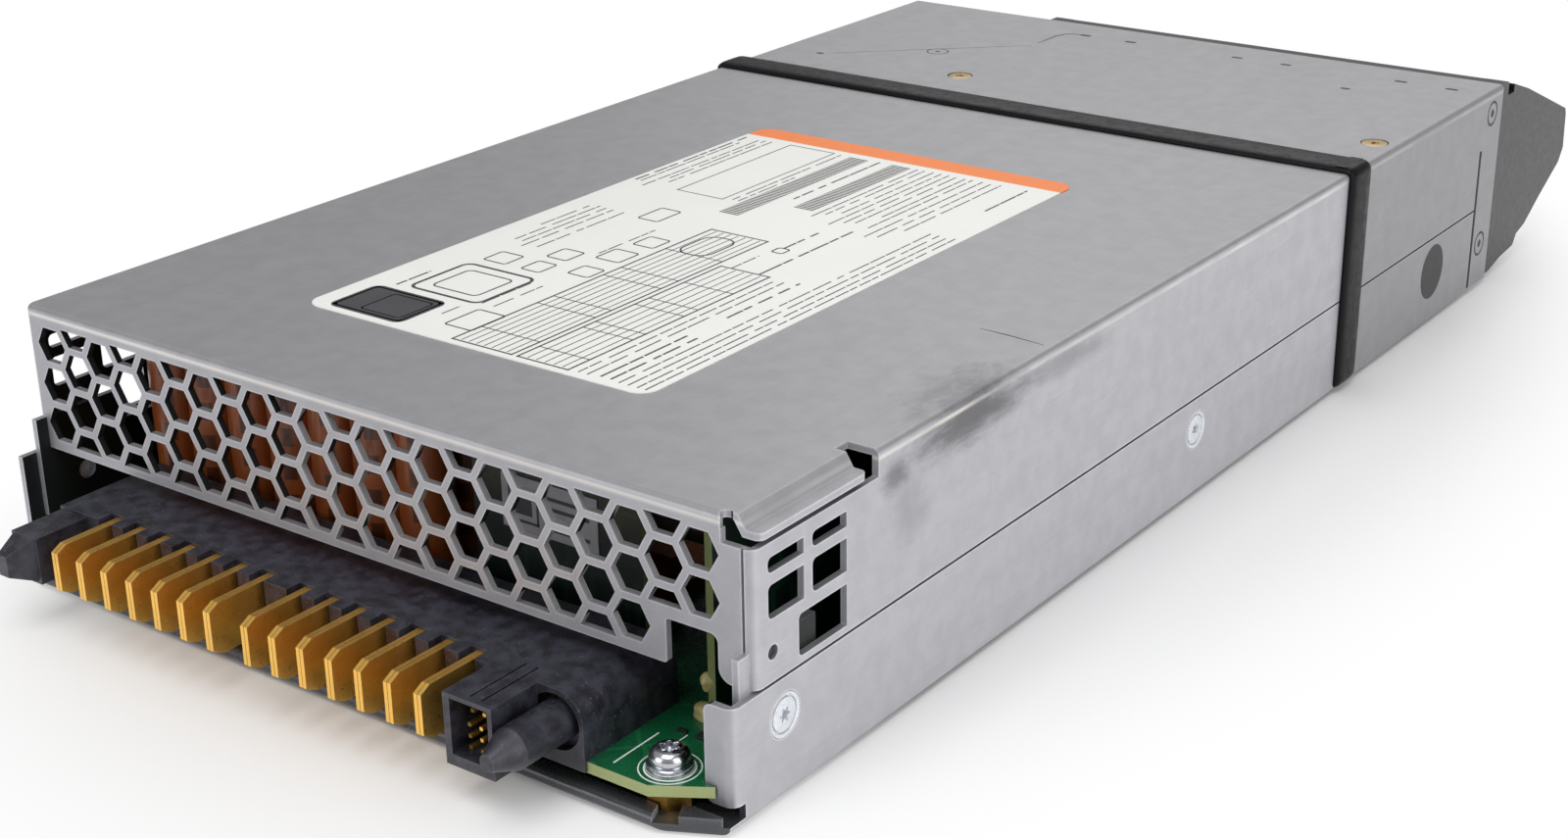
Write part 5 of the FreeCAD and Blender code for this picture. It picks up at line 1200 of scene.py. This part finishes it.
@dataclass
class RatingPrint:
    """Rules, empty boxes and plain bars on the label: a blank form with nothing written."""

    depth: float = 0.03
    rule: float = 0.24
    frame_line: float = 0.28
    bar_length: float = 3.9
    bar_line: float = 0.34
    bar_pitch: float = 0.72
    bar_end: float = 107.6

    def build(self) -> None:
        """Print the label."""
        low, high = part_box("rating_label")
        self.left, self.front, self.level = low[0] / MM, low[1] / MM, high[2] / MM
        self.piece = Sketcher("label_print")
        self._frames()
        self._tables()
        self._rules()
        self._bars()
        settle(self.piece.finish("label_ink", "label_grey", "label_pale"))

    def _fill(self, x: float, y: float, wide: float, long: float, slot: int = 0,
              lift: float = 0.0) -> None:
        """Lay a thin filled rectangle, placed from the label's near left corner."""
        x, y = self.left + x, self.front + y
        self.piece.slab(mm(x, y, self.level - SUNK),
                        mm(x + wide, y + long, self.level + self.depth + lift), slot)

    def _outline(self, x: float, y: float, wide: float, long: float, line: float, slot: int = 0,
                 r: float = 0.0) -> None:
        """Draw an empty box, its corners rounded by the radius r."""
        for at, size in (((x + r, y), (wide - 2 * r, line)),
                         ((x + r, y + long - line), (wide - 2 * r, line)),
                         ((x, y + r), (line, long - 2 * r)),
                         ((x + wide - line, y + r), (line, long - 2 * r))):
            self._fill(*at, *size, slot)
        if not r:
            return
        for cx, cy, start in ((x + wide - r, y + long - r, 0), (x + r, y + long - r, 90),
                              (x + r, y + r, 180), (x + wide - r, y + r, 270)):
            outer, inner = (arc(self.left + cx, self.front + cy, radius, start)
                            for radius in (r, r - line))
            self.piece.prism(outer + inner[::-1], self.level - SUNK, self.level + self.depth, slot)

    def _frames(self) -> None:
        """Empty boxes: one dark rounded box, one rounded frame and small square frames."""
        self._fill(3.9, 1.9, 13.8, 9.6, 1)
        self._fill(5.2, 2.9, 2.6, 7.6, 2, 0.01)
        for box in ((3.4, 1.4, 14.8, 10.6, 0.9, 0, 1.6), (8.6, 2.9, 8.2, 7.6, 0.25, 2, 0.8),
                    (7.6, 13.8, 14.6, 13.6, 0.55, 0, 1.8), (10.2, 16.2, 9.4, 8.8, 0.3, 1, 1.2),
                    (10.8, 75.2, 9.8, 32.8, 0.2, 1)):
            self._outline(*box)
        for x, y, wide, long in (
                (8.4, 29.6, 4.8, 4.8), (16.2, 29.6, 4.0, 4.6), (15.6, 36.2, 4.4, 4.8),
                (23.6, 32.0, 4.4, 4.4), (22.4, 40.0, 5.0, 5.4), (23.0, 48.4, 4.4, 4.8),
                (15.0, 59.4, 4.4, 6.6), (23.6, 5.0, 5.6, 7.6), (43.4, 57.6, 2.4, 2.6)):
            self._outline(x, y, wide, long, self.frame_line, 0, 0.7)

    def _tables(self) -> None:
        """Two long ruled tables with rows and columns and nothing in them."""
        for x, wide, long, columns in ((28.8, 11.6, 60.4, 8), (41.2, 9.6, 46.8, 6)):
            self._outline(x, 1.2, wide, long, self.rule * 1.3)
            for step in range(1, columns):
                self._fill(x + wide * step / columns, 1.8, self.rule * 0.7, long - 1.2, 2)
            for share in (0.1, 0.3, 0.36, 0.55, 0.62, 0.8):
                self._fill(x, 1.2 + long * share, wide, self.rule * 0.8, 1)
        self._outline(30.6, 49.4, 6.2, 9.6, 0.3, 0, 2.6)

    def _rules(self) -> None:
        """Rows of fine writing rules of uneven length along the label."""
        draw = random.Random(11)
        for x, start, end, slot in (
                (1.0, 76.0, 107.6, 0), (2.2, 76.0, 104.0, 1), (4.2, 74.0, 107.0, 1),
                (5.4, 80.0, 107.6, 1), (6.8, 78.0, 107.6, 1), (22.0, 76.0, 107.6, 1),
                (23.2, 76.0, 92.0, 1), (30.2, 82.0, 107.6, 0), (38.2, 76.0, 107.6, 1),
                (39.6, 78.0, 107.6, 1), (41.4, 80.0, 107.6, 1), (43.0, 74.0, 107.6, 1),
                (44.6, 76.0, 107.6, 1), (46.2, 77.0, 107.6, 1), (48.0, 82.0, 107.6, 1),
                (49.4, 76.0, 107.6, 1), (51.4, 72.0, 107.6, 1), (53.2, 73.0, 107.6, 1),
                (55.0, 78.0, 107.6, 1), (48.4, 48.0, 73.0, 0), (44.2, 60.0, 70.0, 0),
                (43.2, 48.0, 55.0, 1), (52.2, 1.6, 47.0, 1), (53.8, 1.6, 47.0, 1),
                (55.8, 2.0, 21.0, 0), (57.6, 2.0, 21.0, 0), (56.0, 30.0, 48.0, 0),
                (59.4, 1.6, 79.0, 1), (61.0, 1.6, 79.0, 1), (62.6, 1.6, 79.0, 1),
                (64.0, 1.6, 79.0, 1), (60.2, 94.0, 107.4, 0), (4.2, 48.0, 60.6, 1),
                (5.8, 40.0, 61.0, 1), (7.4, 40.0, 60.6, 1), (9.0, 38.0, 60.6, 1),
                (11.4, 39.0, 60.4, 1), (21.6, 42.0, 56.0, 1), (5.6, 13.6, 21.0, 0),
                (20.4, 8.0, 12.0, 1), (22.2, 14.6, 25.4, 1), (24.6, 14.6, 25.4, 1)):
            at = start
            while at < end:
                length = min(draw.uniform(1.6, 6.0), end - at)
                self._fill(x, at, self.rule * (1.0 if slot else 1.5), length, slot)
                at += length + draw.choice((0.35, 0.35, 0.7, 1.6))

    def _bars(self) -> None:
        """Two strips of even cross bars."""
        for x, at in ((24.2, 69.6), (33.0, 78.4)):
            while at < self.bar_end:
                self._fill(x, at, self.bar_length, self.bar_line, 1)
                at += self.bar_pitch


# ------------------------------------------------------------------ cans and band


@dataclass
class SleevedCans:
    """Output cans: shrink sleeve with a rolled lip and a bare top with a pressed cross, the cross
    drawn black as painted shade in its score.
    """

    count: int = 14
    lip: float = 0.5
    groove: float = 0.35
    lid_depth: float = 0.75
    cross_half: float = 0.12
    cross_turn: float = 0.4

    def build(self) -> None:
        """Turn each can in place of its plain cylinder."""
        piece = Sketcher("output_cans")
        low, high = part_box("output_capacitors")
        middles = centres("output_capacitors", self.count)
        radius = (high[0] - max(spot.x for spot in middles)) / MM
        tall = (high[2] - low[2]) / MM
        lid = tall - self.lid_depth
        rim = (radius - self.lip * 2.4, tall - 0.3)
        side = [(0, 0), (radius * 0.9, 0), (radius - 0.2, 0.4), (radius - 0.1, 2.2),
                (radius - self.groove, 2.8), (radius - self.groove, 3.4), (radius - 0.1, 4.0),
                (radius, tall * 0.5), (radius - 0.1, tall - 1.2),
                (radius - self.lip * 0.5, tall - 0.3), (radius - self.lip * 1.4, tall - 0.1), rim]
        for spot in middles:
            base = Vector((spot.x, spot.y, low[2]))
            piece.lathe(side, base, UP, 36, 0)
            piece.lathe([rim, (radius - self.lip * 3.0, lid), (0, lid)], base, UP, 36, 1)
            top = low[2] / MM + lid
            # the pressed cross is a thin black strip: painted shade in the score
            for turn in (self.cross_turn, self.cross_turn + math.pi / 2):
                way = Vector((math.cos(turn), math.sin(turn)))
                arm, across = way * radius * 0.5, Vector((-way.y, way.x)) * self.cross_half
                piece.prism([tuple(base.xy / MM + corner) for corner in (
                    -arm - across, arm - across, arm + across, -arm + across)],
                    top - 0.05, top + 0.04, 2)
        settle(piece.finish("sleeve_brown", "sink_aluminium", "chip_black"),
               "output_capacitors")


@dataclass
class SealingBand:
    """Rubber band round the case: rounded outside, flat inside, with a small overlap."""

    corner: float = 0.8
    inset: float = 0.04
    section: tuple[Flat, ...] = (
        (0.0, -0.5), (0.45, -0.49), (0.8, -0.43), (0.97, -0.3), (1.0, -0.1), (1.0, 0.1),
        (0.97, 0.3), (0.8, 0.43), (0.45, 0.49), (0.0, 0.5))

    def _loop(self, half: float, low: float, high: float, corner: float) -> list[Flat]:
        """Points round the case section, with rounded corners."""
        x, foot, head = half - corner, low + corner, high - corner
        return [point for place in ((x, head, corner, 0), (-x, head, corner, 90),
                                    (-x, foot, corner, 180), (x, foot, corner, 270))
                for point in arc(*place)]

    def build(self) -> None:
        """Sweep the band's section round the case in place of its plain node."""
        low, high = (corner / MM for corner in map(Vector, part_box("sealing_band")))
        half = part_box("base_tray")[1][0] / MM + self.inset
        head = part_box("end_cover")[1][2] / MM + self.inset
        thick = high.x - half
        middle, wide = (low.y + high.y) / 2, high.y - low.y
        piece = Sketcher("sealing_band_round")
        rings = []
        for outward, along in self.section:
            out = outward * thick
            rings.append([piece.mesh.verts.new(mm(x, middle + along * wide, z))
                          for x, z in self._loop(half + out, low.z + thick - out, head + out,
                                                 self.corner + out)])
        count = len(rings[0])
        for ring, after in zip(rings, rings[1:] + rings[:1]):
            for step in range(count):
                ahead = (step + 1) % count
                piece.mesh.faces.new((ring[step], ring[ahead], after[ahead],
                                      after[step])).smooth = True
        lap = mm(half - 3.0, middle - wide * 0.42, head + thick * 0.9)
        piece.slab(lap, lap + mm(2.2, wide * 0.84, thick * 0.09), 0, 0.00003)
        settle(piece.finish("band_rubber"), "sealing_band")


# ------------------------------------------------------------------ board and inside


@dataclass
class BoardDetails:
    """White printing, plated hole, small chips, glue and tag rules on and round the board."""

    lift: float = 0.03
    chip_soft: float = 0.00004
    solder_soft: float = 0.00008
    solder_reach: float = 0.28
    solder_inset: float = 0.1
    tag_lift: float = 0.02

    def build(self) -> None:
        """Lay all the small things on the boards."""
        self.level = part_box("main_board")[1][2] / MM
        self._printing()
        self._chips()
        self._glue()
        self._tag()

    def _printing(self) -> None:
        """White rings round the board screws, white lines and a plated hole with a disc of painted
        shade in its middle.
        """
        piece = Sketcher("board_printing")
        base = self.level - SUNK
        for spot in centres("board_screws", 4):
            spot.z = base * MM
            piece.disc(spot, UP, 3.9, 4.1, self.lift, 48, 0)
            piece.disc(spot, UP, 3.1, 3.4, self.lift, 48, 1)
        for x, y, wide, long in (
                (51.2, -7.6, 0.25, 9.0), (60.8, 0.4, 3.2, 0.25), (54.6, -1.0, 1.8, 0.2),
                (54.6, 0.6, 0.2, 2.4), (-64.0, -4.6, 0.25, 4.4), (-61.0, 0.0, 3.0, 0.25)):
            piece.slab(mm(x, y, base), mm(x + wide, y + long, base + self.lift), 0)
        hole = mm(-62.5, -2.5, base)
        piece.lathe([(0.55, 0), (0.6, 0.05), (1.05, 0.05), (1.1, 0), (0.55, 0)], hole, UP, 32, 1)
        # the hole's middle is a black disc: painted shade inside the plated hole
        piece.disc(hole, UP, 0, 0.55, 0.02, 24, 2)
        settle(piece.finish("silk_white", "brass_turned", "chip_black"))

    def _chips(self) -> None:
        """Small chips and their solder ends near the screws."""
        piece = Sketcher("board_chips")
        draw = random.Random(5)
        base = self.level - SUNK
        for x, y, turned in (
                (53.6, 3.4, 0), (56.8, 4.2, 1), (60.4, 3.0, 0), (62.4, 6.2, 1), (53.0, 8.6, 0),
                (57.6, 9.4, 0), (61.0, 11.4, 1), (-60.4, 4.4, 0), (-56.4, 6.8, 1),
                (-61.6, 10.2, 0)):
            long, wide, high = draw.choice(((1.6, 0.8, 0.5), (2.0, 1.25, 0.6), (1.0, 0.5, 0.4)))
            half = Vector((wide, long) if turned else (long, wide)) / 2
            piece.slab(mm(x - half.x, y - half.y, base),
                       mm(x + half.x, y + half.y, self.level + high), 0, self.chip_soft)
            off = Vector((0.0, half.y) if turned else (half.x, 0.0))
            end = self.solder_reach
            reach = Vector((half.x - self.solder_inset + end, end) if turned
                           else (end, half.y - self.solder_inset + end))
            for side in (-1, 1):
                low, top = (Vector((x, y)) + off * side + reach * way for way in (-1, 1))
                piece.slab(mm(*low, base), mm(*top, self.level + high * 0.7), 1, self.solder_soft)
        settle(piece.finish("chip_black", "solder"))

    def _glue(self) -> None:
        """Blobs of glue at the foot of the card and among the cans."""
        piece = Sketcher("glue_blobs")
        left, front = (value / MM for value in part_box("signal_card")[0][:2])
        for x, y, rise, size, flat, slot in (
                (left - 0.4, front - 0.2, 0.7, 1.7, 0.8, 0),
                (left - 0.3, front + 0.3, 4.9, 1.1, 1.1, 0),
                (9.5, 12.0, 1.0, 3.0, 0.9, 1), (-18.0, 10.8, 0.8, 2.4, 0.7, 1)):
            self._blob(piece, mm(x, y, self.level + rise), size * MM, flat, slot)
        settle(piece.finish("glue_amber", "glue_cream"))

    def _blob(self, piece: Sketcher, centre: Vector, size: float, flat: float, slot: int) -> None:
        """Add one uneven rounded blob."""
        verts = bmesh.ops.create_icosphere(piece.mesh, subdivisions=3, radius=size)["verts"]
        draw = random.Random(int(centre.x * 1e5))
        waves = [(draw.uniform(1, 3), draw.uniform(0, 6), draw.choice((0, 1, 2)))
                 for _ in range(4)]
        for vert in verts:
            swell = 1 + sum(0.07 * math.sin(rate * vert.co[axis] / size * 2 + shift)
                            for rate, shift, axis in waves)
            vert.co = vert.co * swell * Vector((1, 1, flat)) + centre
            for face in vert.link_faces:
                face.smooth = True
                face.material_index = slot

    def _tag(self) -> None:
        """Plain ruled lines and an empty square on the grey tag."""
        piece = Sketcher("tag_rules")
        left, face, foot = (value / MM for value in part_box("card_tag")[0])
        lines = [(8.2, 1.2 + step * 1.5, 7.4 - (step % 2) * 2.2, 0.55) for step in range(4)]
        for x, z, wide, tall in (*lines, (1.2, 1.2, 5.4, 0.4), (1.2, 6.2, 5.4, 0.4),
                                 (1.2, 1.2, 0.4, 5.4), (6.2, 1.2, 0.4, 5.4),
                                 (2.4, 2.4, 3.0, 3.0)):
            piece.slab(mm(left + x, face - self.tag_lift, foot + z),
                       mm(left + x + wide, face + SUNK, foot + z + tall), 0)
        settle(piece.finish("label_ink"))


# ------------------------------------------------------------------ marks on the sheet


@dataclass
class SheetMarks:
    """Tool holes, bent slot, pressed dimples, seams and hairline scratches on the case, with
    painted shade round the dimple and seams and a painted highlight on the seams.
    """

    lift: float = 0.02

    def build(self) -> None:
        """Lay the marks on the top and the sides."""
        self.piece = Sketcher("sheet_marks")
        self.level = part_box("end_cover")[1][2] / MM
        for x, y, long, wide in (
                (-19.4, 233.75, 2.6, 1.1), (-8.75, 233.75, 2.6, 1.1), (15.6, 233.75, 2.4, 1.0),
                (26.3, 233.75, 2.4, 1.0), (50.6, 233.75, 2.6, 1.1), (61.0, 233.5, 2.6, 1.1),
                (43.75, 223.0, 2.0, 1.0), (-57.5, 190.6, 1.8, 1.0)):
            reach = (long - wide) / 2
            self._print(arc(x + reach, y, wide / 2, -90, 30) + arc(x - reach, y, wide / 2, 90, 30))
        self._line(((-24.4, 222.5), (-24.4, 230.0), (-23.6, 232.6), (-21.8, 233.6),
                    (-19.4, 233.75)), 0.45, 0)
        self._line(((-55.6, 191.9), (-40.0, 206.0), (-24.4, 220.0)), 0.16, 1)
        self._line(((55.5, 70.9), (60.0, 70.8), (66.3, 70.2)), 0.28, 0)
        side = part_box("base_tray")[1][0] / MM
        top = mm(-38.0, 205.0, self.level)
        # clinch seams: a darker ring of painted shade round a pale centre of painted highlight
        seams = [(mm(side, 237.5, height), RIGHT, *mark) for height in (35.4, 9.1)
                 for mark in ((2.0, 2.5, 3), (0.0, 0.8, 1))]
        # a ring of painted shade round the top dimple; a darker disc on the embossed oval on the
        # side
        for centre, axis, inner, outer, slot in (
                (top, UP, 2.0, 2.3, 3), (top, UP, 0.0, 0.5, 0),
                (mm(side, 213.3, 10.2), RIGHT, 0.0, 5.3, 3), *seams,
                (mm(side - 0.5, 3.6, 21.5), RIGHT, 0.0, 0.9, 4)):
            self.piece.disc(centre, axis, inner, outer, self.lift / 2, 40, slot, False)
        settle(self.piece.finish("shadow_grey", "bright_scratch", "plate_steel", "rubbed_steel",
                                 "chip_black"))

    def _print(self, outline: list[Flat], slot: int = 0) -> None:
        """Lay a thin flat mark on the top."""
        self.piece.prism(outline, self.level - SUNK, self.level + self.lift, slot)

    def _line(self, route: tuple[Flat, ...], wide: float, slot: int) -> None:
        """Lay a thin strip along a route on the top, tapering at its ends."""
        rows = []
        last = len(route) - 1
        for index, (x, y) in enumerate(route):
            ahead, behind = route[min(index + 1, last)], route[max(index - 1, 0)]
            way = Vector((ahead[0] - behind[0], ahead[1] - behind[1])).normalized()
            half = wide / 2 * (0.35 if index in (0, last) else 1.0)
            rows.append([(x - side * way.y * half, y + side * way.x * half) for side in (1, -1)])
        self._print([row[0] for row in rows] + [row[1] for row in reversed(rows)], slot)


# ------------------------------------------------------------------ stage


@dataclass
class Stage:
    """White floor and backdrop, lamps and camera."""

    floor_half: float = 3.0
    floor_gap: float = 0.0005
    floor_rough: float = 0.9
    world_strength: float = 0.45
    fade_half: Flat = (0.115, 0.2)
    fade_middle: float = 0.13
    fade_start: float = 0.72
    fade_end: float = 1.05
    camera_place: Point = (0.221556, -0.200944, 0.158557)
    camera_turn: Point = (67.3916, 0.7530, 36.1799)
    lens: float = 54.47

    def _whiten(self, graph: Graph, kind: str, share: object, shown: object,
                out: bpy.types.NodeSocket) -> None:
        """Mix plain white into a shader and send it out.

        Args:
            graph: The node tree.
            kind: Type of the white shader's node.
            share: Share of white.
            shown: The shader's output.
            out: Where the result goes.
        """
        white = graph.node(kind, {"Strength": 1.0})
        mix = graph.node("ShaderNodeMixShader", {0: share, 1: shown, 2: white.outputs[0]})
        graph.feed(out, mix.outputs[0])

    def floor(self) -> None:
        """Lay a white floor that keeps the shadow under the part."""
        material = bpy.data.materials.new("white_floor")
        material.use_nodes = True
        tree = material.node_tree
        graph = Graph(tree)
        shader = tree.nodes["Principled BSDF"]
        cloud = graph.noise(graph.place(), 3.0)
        graph.feed(shader.inputs["Base Color"],
                   graph.blend(cloud, (0.88, 0.88, 0.88), (0.92, 0.92, 0.92)))
        graph.feed(shader.inputs["Roughness"], self.floor_rough)
        path = graph.node("ShaderNodeLightPath").outputs
        wide, long = self.fade_half
        x, y = graph.parts(graph.stretched(graph.place(), (1 / wide, 1 / long, 1),
                                           shift=(0.0, -self.fade_middle / long, 0.0)))[:2]
        far = graph.maths("SQRT", graph.plus(graph.times(x, x), graph.times(y, y)))
        seen = graph.maths("MAXIMUM", path["Is Camera Ray"], path["Is Glossy Ray"])
        share = graph.times(seen, graph.between(far, self.fade_start, self.fade_end))
        self._whiten(graph, "ShaderNodeEmission", share, shader.outputs[0],
                     tree.nodes["Material Output"].inputs["Surface"])
        piece = Sketcher("floor")
        half, level = self.floor_half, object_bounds()[0][2] - self.floor_gap
        piece.mesh.faces.new([piece.mesh.verts.new((sx * half, sy * half, level))
                              for sx, sy in ((-1, -1), (1, -1), (1, 1), (-1, 1))])
        obj = piece.finish("label_film")
        obj.data.materials[0] = material
        obj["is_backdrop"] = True

    def world(self) -> None:
        """Light evenly from all round, a little more from above, with a pale backdrop."""
        world = bpy.data.worlds.new("studio")
        bpy.context.scene.world = world
        world.use_nodes = True
        tree = world.node_tree
        graph = Graph(tree)
        soft = tree.nodes["Background"]
        z = graph.parts(graph.node("ShaderNodeTexCoord").outputs["Generated"])[2]
        graph.feed(soft.inputs["Color"], graph.grey(graph.between(z, -0.2, 0.9, 0.55, 0.95)))
        graph.feed(soft.inputs["Strength"], self.world_strength)
        path = graph.node("ShaderNodeLightPath").outputs
        self._whiten(graph, "ShaderNodeBackground", path["Is Camera Ray"], soft.outputs[0],
                     tree.nodes["World Output"].inputs["Surface"])

    def lamps(self) -> None:
        """Hang the key, fill, front and back lamps, all square."""
        for name, place, target, size, power in (
                ("key", (0.10, -0.25, 0.75), (0.0, 0.12, 0.02), 0.55, 2.9),
                ("fill", (0.75, -0.05, 0.30), (0.03, 0.10, 0.02), 0.60, 2.2),
                ("front", (-0.25, -0.65, 0.25), (0.0, 0.0, 0.02), 0.45, 1.6),
                ("back", (-0.20, 0.75, 0.55), (0.0, 0.15, 0.03), 0.6, 1.4)):
            data = bpy.data.lights.new(name, "AREA")
            data.size, data.energy = size, power
            lamp = linked(name, data)
            lamp.location = place
            way = Vector(target) - Vector(place)
            lamp.rotation_euler = way.to_track_quat("-Z", "Y").to_euler()

    def camera(self) -> None:
        """Place the camera."""
        data = bpy.data.cameras.new("camera")
        data.sensor_width, data.lens, data.clip_start = 36.0, self.lens, 0.01
        camera = linked("camera", data)
        camera.location = self.camera_place
        camera.rotation_euler = tuple(math.radians(angle) for angle in self.camera_turn)
        bpy.context.scene.camera = camera

    def build(self) -> None:
        """Set up the whole stage."""
        bpy.context.scene.view_settings.view_transform = "Standard"
        self.floor()
        self.world()
        self.lamps()
        self.camera()


def main() -> None:
    """Dress the solids, lay the small parts on and set the stage."""
    logging.basicConfig(level=logging.INFO)
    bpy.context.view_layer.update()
    dress_solids()
    for builder in (Fasteners, RatingPrint, SleevedCans, SealingBand, BoardDetails, SheetMarks,
                    Stage):
        builder().build()


if __name__ == "__main__":
    main()
